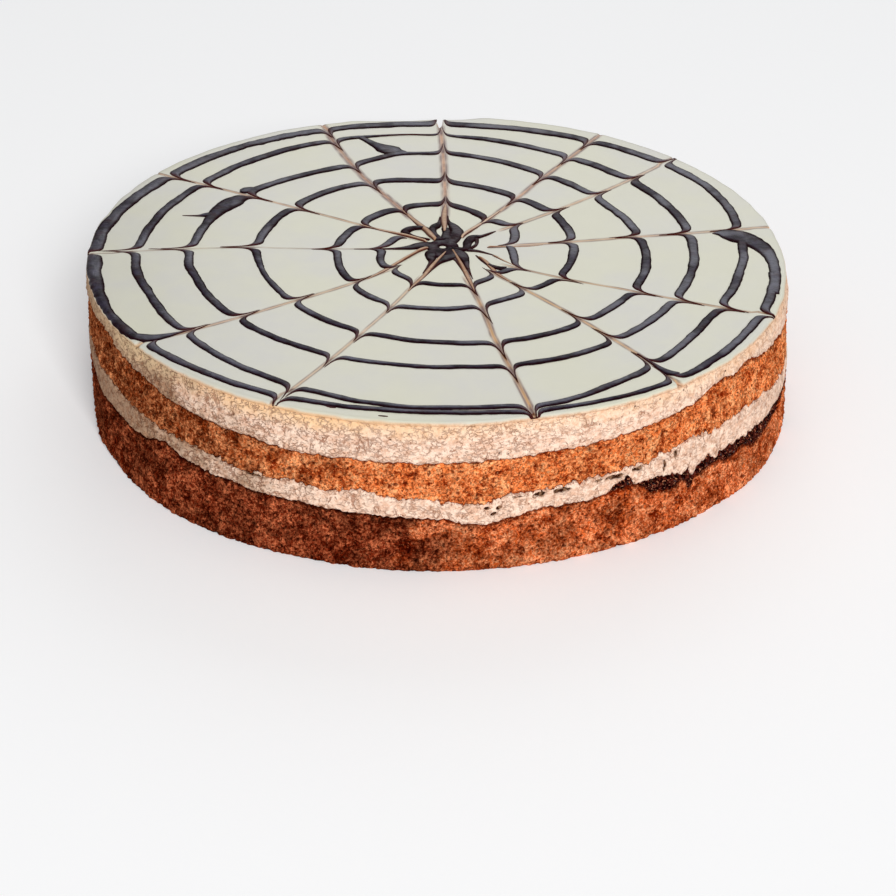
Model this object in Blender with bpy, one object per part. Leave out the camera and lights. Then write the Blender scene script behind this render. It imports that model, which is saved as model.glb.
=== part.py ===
"""Round chocolate fudge cake: two sponges, fudge and cream between them, and feathered icing on top.

Lengths are metres and +Z is up. The origin is at the middle of the flat base. Azimuths are degrees
counterclockwise from +X round the cake's middle, so the side in the photograph, -Y, is at 270.
"""
import math

import bmesh
import bpy
from mathutils import Vector, noise

MM = 0.001

# Driving dimensions
TOP_RADIUS = 130.0 * MM
ICING_TOP = 54.1 * MM
ICING_THICKNESS = 1.7 * MM
LIP_ROUND = 1.3 * MM
SHOULDER_DROP = 1.6 * MM
GAP = 0.3 * MM
SEGMENTS = 90

# The layers run level inside this radius, at these heights, and reach the heights below at the side
LEVEL_RADIUS = 0.7 * TOP_RADIUS
SPONGE_INSIDE = 20.5 * MM
FUDGE_INSIDE = 1.2 * MM
CREAM_INSIDE = 29.3 * MM
UPPER_SPONGE_INSIDE = 44.3 * MM

# Heights at the side: azimuth in degrees, height in millimetres
LOWER_SPONGE_TOP = (
    (10, 21.0), (40, 22.5), (70, 20.0), (100, 22.5), (130, 21.0), (155, 23.5), (180, 21.5),
    (200, 24.0), (207, 22.3), (220, 22.0), (227, 25.5), (231, 23.0), (245, 21.5), (255, 20.7),
    (270, 19.5), (277, 17.2), (285, 21.3), (292, 20.3), (297, 22.0), (303, 17.5), (307, 17.8),
    (310, 13.5), (313, 17.3), (320, 16.5), (324, 13.7), (329, 15.5), (338, 15.3), (345, 17.5),
    (352, 19.5),
)
UPPER_SPONGE_BOTTOM = (
    (20, 30.0), (50, 28.5), (80, 31.0), (110, 28.5), (140, 30.5), (170, 29.5), (200, 32.0),
    (212, 31.3), (222, 29.7), (235, 29.0), (241, 27.5), (250, 28.0), (254, 27.0), (258, 29.0),
    (266, 27.0), (276, 25.0), (282, 27.5), (294, 29.0), (302, 30.0), (311, 32.0), (315, 30.5),
    (322, 31.0), (330, 30.0), (336, 27.0), (342, 25.0), (355, 27.5),
)
UPPER_SPONGE_TOP = (
    (0, 45.0), (25, 43.0), (55, 46.0), (85, 43.5), (115, 46.0), (150, 44.0), (180, 46.5),
    (200, 48.0), (209, 49.0), (215, 45.7), (220, 44.5), (230, 41.5), (240, 40.5), (250, 39.5),
    (262, 39.7), (275, 40.0), (290, 41.0), (298, 42.5), (310, 44.5), (315, 48.0), (318, 48.5),
    (320, 47.0), (323, 48.7), (330, 46.0), (335, 44.5), (342, 43.5),
)

# Thickness of the fudge where it shows at the side, and nothing where it stops short of the side
FUDGE_AT_SIDE = (
    (294, 0.0), (298, 3.0), (303, 4.2), (307, 4.0), (310, 7.5), (313, 3.7), (320, 3.8), (324, 6.4),
    (329, 3.8), (338, 3.5), (345, 1.3), (350, 0.0),
)
FUDGE_SHOWS_FROM = 296
FUDGE_SHOWS_TO = 347
FUDGE_BULGE = 0.9 * MM
FUDGE_SETBACK = 9.0 * MM
CREAM_CLOSES_AT = 4.0 * MM

# Edge of the base and of the icing: azimuth in degrees, radius in millimetres
BASE_EDGE = (
    (0, 134.2), (45, 134.4), (90, 134.0), (150, 133.4), (185, 131.5), (195, 131.8), (208, 133.5),
    (226, 135.3), (240, 134.8), (252, 133.6), (300, 133.3), (313, 134.0), (327, 135.2), (340, 134.8),
)
ICING_EDGE = (
    (0, 128.6), (30, 129.8), (60, 130.2), (80, 129.0), (88, 124.5), (98, 123.5), (108, 127.0),
    (125, 129.0), (150, 130.3), (180, 129.8), (210, 129.4), (240, 129.6), (270, 129.0),
    (284, 128.2), (300, 129.4), (325, 129.6),
)

# The drizzle is one spiral round a point near the middle of the icing. Each row is a turn, with a
# radius in millimetres every 30 degrees from +X
WEB_CENTRE = Vector((1.6 * MM, -3.0 * MM, 0))
SPIRAL_STEP = 30
SPIRAL_RADII = (
    None, None, None, None, None, 19.0, 21.0, 26.0, 28.5, 31.0, 30.5, 29.5,
    26.0, 30.5, 32.0, 38.0, 38.0, 37.0, 38.5, 42.0, 48.5, 49.5, 46.7, 47.5,
    49.0, 51.5, 55.0, 60.0, 66.0, 67.3, 68.5, 69.0, 71.5, 74.0, 75.7, 75.6,
    75.5, 75.5, 80.5, 89.0, 84.6, 90.0, 92.3, 92.3, 91.5, 90.7, 92.3, 91.0,
    93.5, 97.5, 102.0, 108.5, 111.7, 110.5, 112.0, 111.2, 114.0, 116.6, 114.2, 107.2,
    112.0, 121.0, 122.0, 121.0, 124.3, 126.0, 126.3, 126.0, 122.7, 119.8, 124.0, 122.0,
    122.5,
)
SPIRAL_START = 152
SPIRAL_END = 5 * 360 + 358
DRIZZLE_WIDTH = 3.7 * MM
DRIZZLE_RISE = 0.6 * MM
DRIZZLE_FOOT = 0.5 * MM
EDGE_SLOPE = 0.22

# Where the drizzle is wider or thinner: unwound direction, spread in degrees, change in millimetres
WIDTH_CHANGES = (
    (3 * 360 + 156, 7, 4.0), (2 * 360 + 200, 14, -1.2), (4 * 360 + 93, 10, -2.2),
    (3 * 360 + 104, 3, 1.2), (5 * 360 + 165, 45, 1.5), (5 * 360 + 340, 30, 1.2),
)

# A skewer was drawn through the drizzle along each ray: its direction in degrees at 30, 70 and
# 125 mm from the web's centre, and 1 where it was drawn outward or -1 where it was drawn inward
RAYS = (
    (6.0, 9.0, 10.0, -1), (36.0, 39.0, 42.5, 1), (55.5, 58.5, 59.3, -1), (88.5, 89.8, 90.8, 1),
    (116.0, 117.0, 114.0, -1), (149.3, 149.8, 150.6, -1), (184.5, 181.7, 184.0, 1),
    (225.0, 220.8, 217.3, -1), (251.5, 248.3, 245.2, 1), (288.0, 284.3, 283.7, 1),
    (311.5, 310.8, 307.6, -1), (328.5, 333.4, 336.3, 1),
)
RAY_RADII = (30.0 * MM, 70.0 * MM, 125.0 * MM)
RAY_START = 16.0 * MM
RAY_WIDTH = 1.3 * MM
RAY_RISE = 0.25 * MM
RAY_STEPS = 6

# The drag dies away to the side of a ray. The strokes have sections at these steps from it
DRAG_LENGTH = 8.0 * MM
DRAG_SPREAD = 1.2 * MM
SIDE_STEPS = (0.8 * MM, 1.9 * MM, 4.0 * MM)
TAIL_SHARE = 0.35

# The dark heart of the web and its petals: direction in degrees, length in millimetres, spread
HEART_RADIUS = 8.0 * MM
HEART_STEPS = 60
PETALS = (
    (25, 5.0, 9), (55, 4.0, 9), (78, 11.0, 10), (104, 10.0, 9), (133, 10.0, 10), (185, 6.0, 8),
    (218, 2.0, 9), (247, 5.0, 8), (270, 3.0, 8), (291, 6.0, 9), (325, 4.0, 10), (355, 5.0, 10),
)

# What runs across the spiral: direction in degrees, radius and half-width in millimetres. The hook
# is the spiral's outer end, which curls in to the turn beside it
ACROSS = {
    "hook": ((358, 121.5, 2.6), (2, 120.0, 3.4), (5, 116.0, 4.4), (7.5, 110.5, 3.2), (8.6, 104.0, 0.8)),
    "bridge": ((104, 90.5, 2.4), (106, 99.0, 1.5), (107.5, 110.0, 1.1)),
    "spur": ((165, 94.0, 1.4), (165.6, 97.5, 0.6), (166, 102.0, 0.3)),
    "left_tail": ((185, 14.0, 2.0), (185, 22.0, 1.2), (185, 32.0, 0.4)),
    "right_tail": ((22, 12.0, 1.8), (33, 18.0, 1.0), (36, 24.0, 0.4)),
}


def eased(knots, azimuth):
    """Value at an azimuth, eased from knot to knot all the way round."""
    azimuth %= 360
    after = next((knot for knot in knots if knot[0] > azimuth), knots[0])
    before = knots[knots.index(after) - 1]
    span = (after[0] - before[0]) % 360
    share = ((azimuth - before[0]) % 360) / span
    share = share * share * (3 - 2 * share)
    return before[1] + (after[1] - before[1]) * share


def height(knots, azimuth):
    return eased(knots, azimuth) * MM


def fudge_thickness(azimuth):
    return height(FUDGE_AT_SIDE, azimuth)


def unevenness(azimuth, z, amplitude, size):
    """Smooth bumps of about the given size, the same on every run."""
    angle = math.radians(azimuth)
    place = Vector((math.cos(angle) * TOP_RADIUS, math.sin(angle) * TOP_RADIUS, z))
    return noise.noise(place / size) * amplitude


def side_radius(azimuth, z):
    """The cake narrows towards the top, is dented at the back and isn't quite round."""
    share = z / ICING_TOP
    base = height(BASE_EDGE, azimuth)
    radius = base + (TOP_RADIUS - base) * share
    dent = min(height(ICING_EDGE, azimuth) - TOP_RADIUS, 0) * share * share
    return radius + dent + unevenness(azimuth, 0, 0.7 * MM, 60 * MM)


def side_rows(azimuth, low, high, rows, bulge, bumps, size):
    """Points up a layer's side between its edges, bulged and bumpy."""
    points = []
    for row in range(1, rows):
        share = row / rows
        z = low + (high - low) * share
        swell = bulge * math.sin(share * math.pi)
        points.append((side_radius(azimuth, z) + swell + unevenness(azimuth, z, bumps, size), z))
    return points


def add_split_quad(work, near, far):
    """Two triangles, split so that surfaces that face each other across a gap bend along one line."""
    if near[0].co.xy.length > near[1].co.xy.length:
        work.faces.new((near[0], far[0], far[1]))
        work.faces.new((near[0], far[1], near[1]))
    else:
        work.faces.new((near[0], far[0], near[1]))
        work.faces.new((far[0], far[1], near[1]))


def profile_solid(name, profile_at, material):
    """Closed solid from radial profiles, each running from under the middle, out, and back on top."""
    mesh = bpy.data.meshes.new(name)
    work = bmesh.new()
    columns = []
    for segment in range(SEGMENTS):
        azimuth = 360 * segment / SEGMENTS
        profile = profile_at(azimuth)
        columns.append([work.verts.new(outward(azimuth) * radius + Vector((0, 0, z)))
                        for radius, z in profile])
    work.faces.new([column[0] for column in reversed(columns)])
    work.faces.new([column[-1] for column in columns])
    for segment, column in enumerate(columns):
        following = columns[(segment + 1) % SEGMENTS]
        for row in range(len(column) - 1):
            add_split_quad(work, column[row:row + 2], following[row:row + 2])
    work.to_mesh(mesh)
    work.free()
    mesh.materials.append(material)
    mesh.shade_smooth()
    mesh.set_sharp_from_angle(angle=math.radians(40))
    piece = bpy.data.objects.new(name, mesh)
    bpy.context.collection.objects.link(piece)
    return piece


def finish(name, colour, roughness):
    material = bpy.data.materials.new(name)
    material.use_nodes = True
    shader = material.node_tree.nodes["Principled BSDF"]
    shader.inputs["Base Color"].default_value = (*colour, 1)
    shader.inputs["Roughness"].default_value = roughness
    return material


def fudge_bed(azimuth, lift):
    """The surface that carries the fudge, from just inside the side to the level middle."""
    edge = height(LOWER_SPONGE_TOP, azimuth)
    rim = side_radius(azimuth, edge)
    stations = ((rim - CREAM_CLOSES_AT, 0.75), (rim - FUDGE_SETBACK, 0.45), (LEVEL_RADIUS, 0))
    return [(radius, SPONGE_INSIDE + (edge - SPONGE_INSIDE) * share + lift)
            for radius, share in stations]


def fudge_cover(azimuth, lift):
    """The surface over the fudge: it closes on the sponge where the fudge stops short of the side."""
    beside = 360 / SEGMENTS
    shown = fudge_thickness(azimuth)
    if not shown:
        shown = max(fudge_thickness(azimuth - beside), fudge_thickness(azimuth + beside))
    inside = FUDGE_INSIDE + GAP
    closing = shown + GAP if shown else 0
    thicknesses = (closing, max(inside, inside * 0.6 + shown * 0.4), inside)
    return [(radius, z + thickness)
            for (radius, z), thickness in zip(fudge_bed(azimuth, lift), thicknesses)]


def lower_sponge_profile(azimuth):
    """The lower sponge, which stands on its flat base and is hollowed for the fudge."""
    low, high = 1.2 * MM, height(LOWER_SPONGE_TOP, azimuth)
    return [
        (side_radius(azimuth, 0) - 1.0 * MM, 0),
        (side_radius(azimuth, low) - 0.1 * MM, low),
        *side_rows(azimuth, low, high, 4, -0.5 * MM, 1.2 * MM, 9 * MM),
        (side_radius(azimuth, high), high),
        *fudge_bed(azimuth, 0),
    ]


def fudge_profile(azimuth):
    """Fudge that shows at the side along one stretch and stops inside the cake elsewhere."""
    level_under, setback_under, closing_under = reversed(fudge_bed(azimuth, GAP))
    closing_over, setback_over, level_over = fudge_cover(azimuth, 0)
    if FUDGE_SHOWS_FROM <= azimuth <= FUDGE_SHOWS_TO:
        low = height(LOWER_SPONGE_TOP, azimuth) + GAP
        high = low - GAP + fudge_thickness(azimuth)
        radius = side_radius(azimuth, low)
        outer = [
            closing_under,
            (radius, low),
            (radius + FUDGE_BULGE, (low + high) / 2),
            (side_radius(azimuth, high), high),
            closing_over,
        ]
    else:
        radius, low = setback_under
        step = (setback_over[1] - low) / 6
        outer = []
        for count in range(1, 6):
            reach = 0.5 * MM * math.sin(math.pi * count / 6)
            outer.append((radius + reach, low + step * count))
    return [level_under, setback_under, *outer, setback_over, level_over]


def middle_cream_profile(azimuth):
    """The cream over the fudge, closed down onto the lower sponge where no fudge shows."""
    low = height(LOWER_SPONGE_TOP, azimuth) + GAP + fudge_thickness(azimuth)
    high = height(UPPER_SPONGE_BOTTOM, azimuth)
    return [
        *reversed(fudge_cover(azimuth, GAP)),
        (side_radius(azimuth, low), low),
        *side_rows(azimuth, low, high, 3, 0.3 * MM, 0.9 * MM, 12 * MM),
        (side_radius(azimuth, high), high),
        (LEVEL_RADIUS, CREAM_INSIDE),
    ]


def upper_sponge_profile(azimuth):
    """The upper sponge, its cut side a little hollow and crumbly."""
    low = height(UPPER_SPONGE_BOTTOM, azimuth) + GAP
    high = height(UPPER_SPONGE_TOP, azimuth)
    return [
        (LEVEL_RADIUS, CREAM_INSIDE + GAP),
        (side_radius(azimuth, low - GAP), low),
        *side_rows(azimuth, low, high, 4, -0.6 * MM, 1.3 * MM, 8 * MM),
        (side_radius(azimuth, high), high),
        (LEVEL_RADIUS, UPPER_SPONGE_INSIDE),
    ]


def icing_radius(azimuth):
    return height(ICING_EDGE, azimuth)


def top_cream_profile(azimuth):
    """The cream that the icing lies on, with a soft shoulder just outside the icing's edge."""
    low = height(UPPER_SPONGE_TOP, azimuth) + GAP
    bed = ICING_TOP - ICING_THICKNESS - GAP
    shoulder = bed - SHOULDER_DROP
    rim = side_radius(azimuth, shoulder)
    edge = icing_radius(azimuth)
    return [
        (LEVEL_RADIUS, UPPER_SPONGE_INSIDE + GAP),
        (side_radius(azimuth, low - GAP), low),
        *side_rows(azimuth, low, shoulder, 2, 0.5 * MM, 0.8 * MM, 12 * MM),
        (rim, shoulder),
        ((rim + edge) / 2, bed - SHOULDER_DROP / 4),
        (edge - LIP_ROUND / 2, bed),
        (LEVEL_RADIUS, bed),
    ]


def icing_profile(azimuth):
    """A flat sheet of icing with a rounded lip."""
    edge = icing_radius(azimuth)
    under = ICING_TOP - ICING_THICKNESS
    return [
        (edge - LIP_ROUND * 0.7, under),
        (edge, under + 0.35 * ICING_THICKNESS),
        (edge - LIP_ROUND * 0.2, under + 0.75 * ICING_THICKNESS),
        (edge - LIP_ROUND, ICING_TOP),
    ]


def outward(direction):
    angle = math.radians(direction)
    return Vector((math.cos(angle), math.sin(angle), 0))


def on_web(direction, radius, z):
    """A point from its direction and distance from the web's centre."""
    return WEB_CENTRE + outward(direction) * radius + Vector((0, 0, z))


def rim_distance(direction):
    """How far the drizzle can reach from the web's centre before it would leave the icing."""
    return icing_radius(direction) - WEB_CENTRE.dot(outward(direction)) - LIP_ROUND


def spiral_value(step):
    """Radius in millimetres at one of the steps, with the two ends carried on level."""
    first = next(place for place, value in enumerate(SPIRAL_RADII) if value)
    return SPIRAL_RADII[min(max(step, first), len(SPIRAL_RADII) - 1)]


def spiral_radius(direction):
    """Radius of the spiral at an unwound direction, on a smooth curve through its values."""
    place = direction / SPIRAL_STEP
    first = math.floor(place)
    share = place - first
    before, start, end, after = (spiral_value(first + offset) for offset in (-1, 0, 1, 2))
    slope_in = (end - before) / 2
    slope_out = (after - start) / 2
    swing = end - start
    cubic = slope_in + slope_out - 2 * swing
    square = 3 * swing - 2 * slope_in - slope_out
    return (start + slope_in * share + square * share ** 2 + cubic * share ** 3) * MM


def drizzle_width(direction):
    width = DRIZZLE_WIDTH
    for middle, spread, change in WIDTH_CHANGES:
        width += change * MM * math.exp(-((direction - middle) / spread) ** 2)
    return width


def ray_direction(ray, radius):
    """Direction of a ray at a distance from the web's centre: it bends a little on its way."""
    inner, middle, outer = RAY_RADII
    if radius < middle:
        share = (radius - inner) / (middle - inner)
        return ray[0] + (ray[1] - ray[0]) * max(share, -0.3)
    share = (radius - middle) / (outer - middle)
    return ray[1] + (ray[2] - ray[1]) * min(share, 1.1)


def drag(distance, sign):
    """How far the skewer pulled the drizzle along a ray, at a distance to the side of it."""
    return sign * DRAG_LENGTH * math.exp((SIDE_STEPS[0] - distance) / DRAG_SPREAD)


def strip(name, sections):
    """Closed strip of drizzle through four-cornered sections, its foot sunk in the icing."""
    mesh = bpy.data.meshes.new(name)
    work = bmesh.new()
    rings = [[work.verts.new(corner) for corner in section] for section in sections]
    work.faces.new(rings[0])
    work.faces.new(list(reversed(rings[-1])))
    for ring, following in zip(rings, rings[1:]):
        for side in range(4):
            beside = (side + 1) % 4
            work.faces.new((ring[side], following[side], following[beside], ring[beside]))
    bmesh.ops.recalc_face_normals(work, faces=work.faces)
    work.to_mesh(mesh)
    work.free()
    return bpy.data.objects.new(name, mesh)


def radial_section(direction, inner, outer, rise):
    """Section of the drizzle cut along the radius."""
    inset = (outer - inner) * EDGE_SLOPE
    return (
        on_web(direction, inner, ICING_TOP - DRIZZLE_FOOT),
        on_web(direction, inner + inset, ICING_TOP + rise),
        on_web(direction, outer - inset, ICING_TOP + rise),
        on_web(direction, outer, ICING_TOP - DRIZZLE_FOOT),
    )


def crossing_directions():
    """Unwound direction and drag sign of each place where the spiral crosses a ray."""
    crossings = []
    for turn in range(len(SPIRAL_RADII) * SPIRAL_STEP // 360 + 1):
        for ray in RAYS:
            direction = ray[1] + 360 * turn
            for refinement in range(3):
                direction = ray_direction(ray, spiral_radius(direction)) + 360 * turn
            crossings.append((direction, ray[3]))
    return crossings


def stroke(number, start, end):
    """The drizzle between two rays, its ends pulled out along them."""
    (start, start_sign), (end, end_sign) = start, end
    radius = spiral_radius((start + end) / 2)
    degree = math.radians(1) * radius
    first_steps = [start + step / degree for step in SIDE_STEPS]
    last_steps = [end - step / degree for step in reversed(SIDE_STEPS)]
    middles = 3 if radius > LEVEL_RADIUS else 2
    span = (last_steps[0] - first_steps[-1]) / middles
    between = [first_steps[-1] + span * count for count in range(1, middles)]
    directions = [
        direction for direction in first_steps + between + last_steps
        if SPIRAL_START <= direction <= SPIRAL_END
    ]
    sections = []
    for direction in directions:
        pulled = drag((direction - start) * degree, start_sign)
        pulled += drag((end - direction) * degree, end_sign)
        half = drizzle_width(direction) / 2
        outer = min(spiral_radius(direction) + pulled + half, rim_distance(direction))
        inner = min(spiral_radius(direction) + pulled - half, outer - half)
        at_end = direction in (directions[0], directions[-1])
        rise = DRIZZLE_RISE * (TAIL_SHARE if at_end else 1)
        sections.append(radial_section(direction, inner, outer, rise))
    return strip(f"stroke_{number}", sections) if len(sections) > 2 else None


def drizzle_strokes():
    crossings = crossing_directions()
    strokes = []
    for number, (start, end) in enumerate(zip(crossings, crossings[1:])):
        if end[0] > SPIRAL_START and start[0] < SPIRAL_END:
            strokes.append(stroke(number, start, end))
    return [piece for piece in strokes if piece]


def routed_strip(name, route, rise):
    """Strip along (direction, radius, half-width) points, for what runs across the spiral."""
    points = [on_web(direction, radius * MM, ICING_TOP) for direction, radius, half in route]
    sections = []
    for count, point in enumerate(points):
        ahead = points[min(count + 1, len(points) - 1)]
        behind = points[max(count - 1, 0)]
        half = route[count][2] * MM
        across = (ahead - behind).normalized().cross(Vector((0, 0, 1))) * half
        down = Vector((0, 0, DRIZZLE_FOOT))
        top = Vector((0, 0, min(rise, half)))
        narrower = across * (1 - 2 * EDGE_SLOPE)
        sections.append((
            point - across - down,
            point - narrower + top,
            point + narrower + top,
            point + across - down,
        ))
    return strip(name, sections)


def ray_lines():
    """The thin dark line that the skewer left along each ray."""
    lines = []
    for number, ray in enumerate(RAYS):
        reach = rim_distance(ray[2])
        route = []
        for step in range(RAY_STEPS + 1):
            radius = RAY_START + (reach - RAY_START) * step / RAY_STEPS
            route.append((ray_direction(ray, radius), radius / MM, RAY_WIDTH / 2 / MM))
        lines.append(routed_strip(f"ray_{number}", route, RAY_RISE))
    return lines


def heart():
    """The dark heart of the web: a low dome with petals."""
    mesh = bpy.data.meshes.new("heart")
    work = bmesh.new()
    lower, upper = [], []
    for step in range(HEART_STEPS):
        direction = 360 * step / HEART_STEPS
        radius = HEART_RADIUS
        for middle, length, spread in PETALS:
            turn = (direction - middle + 180) % 360 - 180
            radius += length * MM * math.exp(-(turn / spread) ** 2)
        lower.append(work.verts.new(on_web(direction, radius, ICING_TOP - DRIZZLE_FOOT)))
        inset = radius - DRIZZLE_WIDTH * EDGE_SLOPE
        upper.append(work.verts.new(on_web(direction, inset, ICING_TOP + DRIZZLE_RISE)))
    work.faces.new(list(reversed(lower)))
    work.faces.new(upper)
    for step in range(HEART_STEPS):
        beside = (step + 1) % HEART_STEPS
        work.faces.new((lower[step], lower[beside], upper[beside], upper[step]))
    work.to_mesh(mesh)
    work.free()
    return bpy.data.objects.new("heart", mesh)


def feathered_icing():
    """The sheet of icing with the whole web fused to it."""
    sheet = profile_solid("icing", icing_profile, finish("pale_icing", (0.69, 0.69, 0.58), 0.25))
    web = bpy.data.collections.new("web")
    bpy.context.scene.collection.children.link(web)
    pieces = [*drizzle_strokes(), *ray_lines(), heart()]
    for name, route in ACROSS.items():
        pieces.append(routed_strip(name, route, DRIZZLE_RISE))
    for piece in pieces:
        web.objects.link(piece)
    join = sheet.modifiers.new("join", "BOOLEAN")
    join.operation = "UNION"
    join.operand_type = "COLLECTION"
    join.collection = web
    join.solver = "EXACT"
    bpy.context.view_layer.objects.active = sheet
    bpy.ops.object.modifier_apply(modifier=join.name)
    for piece in pieces:
        bpy.data.objects.remove(piece)
    bpy.data.collections.remove(web)


def build():
    for old in list(bpy.data.objects):
        bpy.data.objects.remove(old)
    profile_solid("sponge_bottom", lower_sponge_profile, finish("dark_sponge", (0.16, 0.05, 0.02), 0.9))
    profile_solid("fudge_filling", fudge_profile, finish("fudge", (0.035, 0.012, 0.008), 0.3))
    profile_solid("cream_middle", middle_cream_profile, finish("cream", (0.72, 0.56, 0.43), 0.6))
    profile_solid("sponge_top", upper_sponge_profile, finish("brown_sponge", (0.4, 0.13, 0.04), 0.9))
    profile_solid("cream_top", top_cream_profile, finish("pale_cream", (0.74, 0.58, 0.45), 0.6))
    feathered_icing()


build()
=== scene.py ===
"""Looks of a round chocolate fudge cake with a feathered web of drizzle, dressed over its solids.

Lengths are metres and +Z is up. The origin is at the middle of the flat base. Azimuths are degrees
counterclockwise from +X round the cake's middle, so the side in the photograph, -Y, is at 270.
Directions are measured in the same way, but round the web's centre.
"""
import math
from collections import namedtuple

import bpy
import numpy as np
from mathutils import Matrix, Vector, noise


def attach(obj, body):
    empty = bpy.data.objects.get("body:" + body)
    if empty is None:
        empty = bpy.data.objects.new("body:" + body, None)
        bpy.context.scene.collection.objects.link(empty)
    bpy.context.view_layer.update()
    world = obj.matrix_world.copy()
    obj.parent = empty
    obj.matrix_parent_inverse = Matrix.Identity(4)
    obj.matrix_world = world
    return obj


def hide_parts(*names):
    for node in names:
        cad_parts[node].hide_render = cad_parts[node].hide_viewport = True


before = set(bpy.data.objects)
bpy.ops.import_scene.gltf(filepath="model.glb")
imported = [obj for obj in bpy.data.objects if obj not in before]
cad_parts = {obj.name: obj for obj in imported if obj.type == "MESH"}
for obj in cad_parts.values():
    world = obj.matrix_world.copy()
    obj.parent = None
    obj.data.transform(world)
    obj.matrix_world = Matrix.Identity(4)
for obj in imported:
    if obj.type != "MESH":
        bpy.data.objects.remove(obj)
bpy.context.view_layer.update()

MM = 0.001

# Driving dimensions, as in the solids
TOP_RADIUS = 130.0 * MM
ICING_TOP = 54.1 * MM
ICING_THICKNESS = 1.7 * MM
LIP_ROUND = 1.3 * MM
LEVEL_RADIUS = 0.7 * TOP_RADIUS
SPONGE_INSIDE = 20.5 * MM
FUDGE_INSIDE = 1.2 * MM
CREAM_INSIDE = 29.3 * MM
UPPER_SPONGE_INSIDE = 44.3 * MM

# Heights of the layers at the side: azimuth in degrees, height in millimetres
LOWER_SPONGE_TOP = (
    (10, 21.0), (40, 22.5), (70, 20.0), (100, 22.5), (130, 21.0), (155, 23.5), (180, 21.5),
    (200, 24.0), (207, 22.3), (220, 22.0), (227, 25.5), (231, 23.0), (245, 21.5), (255, 20.7),
    (270, 19.8), (277, 17.2), (281, 19.2), (285, 21.3), (292, 21.0), (296, 22.5), (300.5, 22.4),
    (301.4, 20.6), (303.2, 17.2), (306.4, 16.1), (308.3, 17.4), (309.3, 16.7), (310.2, 13.1),
    (311.4, 17.0), (316.5, 17.6), (318.5, 16.4), (320, 16.0), (322.5, 17.4), (326.3, 14.3),
    (329, 15.3), (332, 15.9), (338, 16.5), (345, 17.9), (352, 19.5),
)
UPPER_SPONGE_BOTTOM = (
    (20, 30.0), (50, 28.5), (80, 31.0), (110, 28.5), (140, 30.5), (170, 29.5), (200, 32.0),
    (212, 31.3), (222, 29.7), (235, 29.0), (241, 27.5), (250, 28.0), (254, 27.0), (258, 29.0),
    (266, 27.0), (276, 25.0), (282, 27.5), (294, 29.0), (302, 30.0), (311, 32.0), (315, 30.5),
    (322, 31.0), (330, 30.0), (336, 27.0), (342, 25.0), (355, 27.5),
)
UPPER_SPONGE_TOP = (
    (0, 45.0), (25, 43.0), (55, 46.0), (85, 43.5), (115, 46.0), (150, 44.0), (180, 46.5),
    (200, 48.0), (209, 49.0), (215, 45.7), (220, 44.5), (230, 41.5), (240, 40.5), (250, 39.5),
    (262, 39.7), (275, 40.0), (290, 41.0), (298, 42.5), (310, 44.5), (315, 48.0), (318, 48.5),
    (320, 47.0), (323, 48.7), (330, 46.0), (335, 44.5), (342, 43.5),
)

# Thickness of the fudge at the side, in the same way
FUDGE_AT_SIDE = (
    (295.5, 0.0), (296.3, 2.6), (298.6, 3.6), (299.5, 0.4), (300.7, 0.6), (301.4, 2.6), (303.2, 5.6),
    (306.4, 5.8), (308.3, 3.2), (309.3, 3.2), (310.2, 6.0), (311, 2.2), (311.9, 3.8), (313.8, 4.8),
    (316, 2.6), (317, 3.6), (319.8, 5.2), (322.5, 3.6), (326.3, 6.4), (329, 4.8), (332, 3.4), (338, 2.6),
    (345, 1.6), (350, 0.0),
)

# Edge of the base and of the icing: azimuth in degrees, radius in millimetres
BASE_EDGE = (
    (0, 133.3), (45, 134.2), (90, 134.0), (150, 133.4), (185, 131.3), (195, 131.8), (208, 133.7),
    (226, 135.8), (240, 135.5), (252, 134.0), (280, 133.9), (300, 133.3), (313, 134.1), (327, 135.8),
    (340, 134.6), (350, 133.7),
)
ICING_EDGE = (
    (0, 128.6), (30, 129.8), (60, 130.2), (80, 129.0), (88, 124.5), (98, 123.5), (108, 127.0),
    (125, 129.0), (150, 130.3), (180, 129.8), (210, 129.4), (240, 129.6), (270, 129.0),
    (284, 128.2), (300, 129.4), (325, 129.6),
)

# The side's mesh: columns round the cake, more of them at the slit in the rim, and the height of a
# row. Above and below the side, each layer tucks in before it goes level
COLUMNS = 1440
SLIT_COLUMNS = 15
ROW_HEIGHT = 0.62 * MM
FEWEST_ROWS = 6
TUCK = 8 * MM

# Where the side is unlike the rest: azimuth and spread in degrees
# A dark band of crust and painted shade under the cream, thick at the right
THICK_CRUST_AND_SHADE = (330, 13)
LUMPY_MIDDLE_CREAM = (232, 12)
LUMPY_TOP_CREAM = (214, 12)
PITTED_CREAM = (236, 24)
PITTED_FRONT = (278, 10)
STAINED_FRONT = (250, 20)
STAINED_LEFT = (218, 11)
DEEPLY_STAINED = (212, 14)

# Small cavities where cream pulled away under the upper sponge, and cracks in it, darkened inside
# # with painted shade: azimuth, height in millimetres, half-width in degrees, half-height and depth
# # in millimetres
CAVITIES = (
    (243.4, 27.0, 1.2, 0.5, 1.8), (277.2, 23.2, 0.4, 0.7, 1.4), (279.0, 23.0, 0.4, 0.6, 1.4),
    (278.2, 20.8, 0.4, 0.6, 1.2), (281.7, 26.2, 0.8, 0.4, 1.6), (285.0, 25.9, 0.8, 1.0, 2.4),
    (288.2, 26.4, 1.4, 0.8, 2.4), (294.0, 27.6, 0.6, 0.5, 1.4), (296.7, 27.3, 1.6, 1.0, 2.4),
    (300.3, 28.0, 0.9, 0.8, 2.4), (305.2, 25.3, 0.35, 2.4, 2.4), (307.3, 28.4, 0.3, 1.6, 1.8),
    (308.4, 51.4, 0.12, 0.9, 0.8),
)

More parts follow.
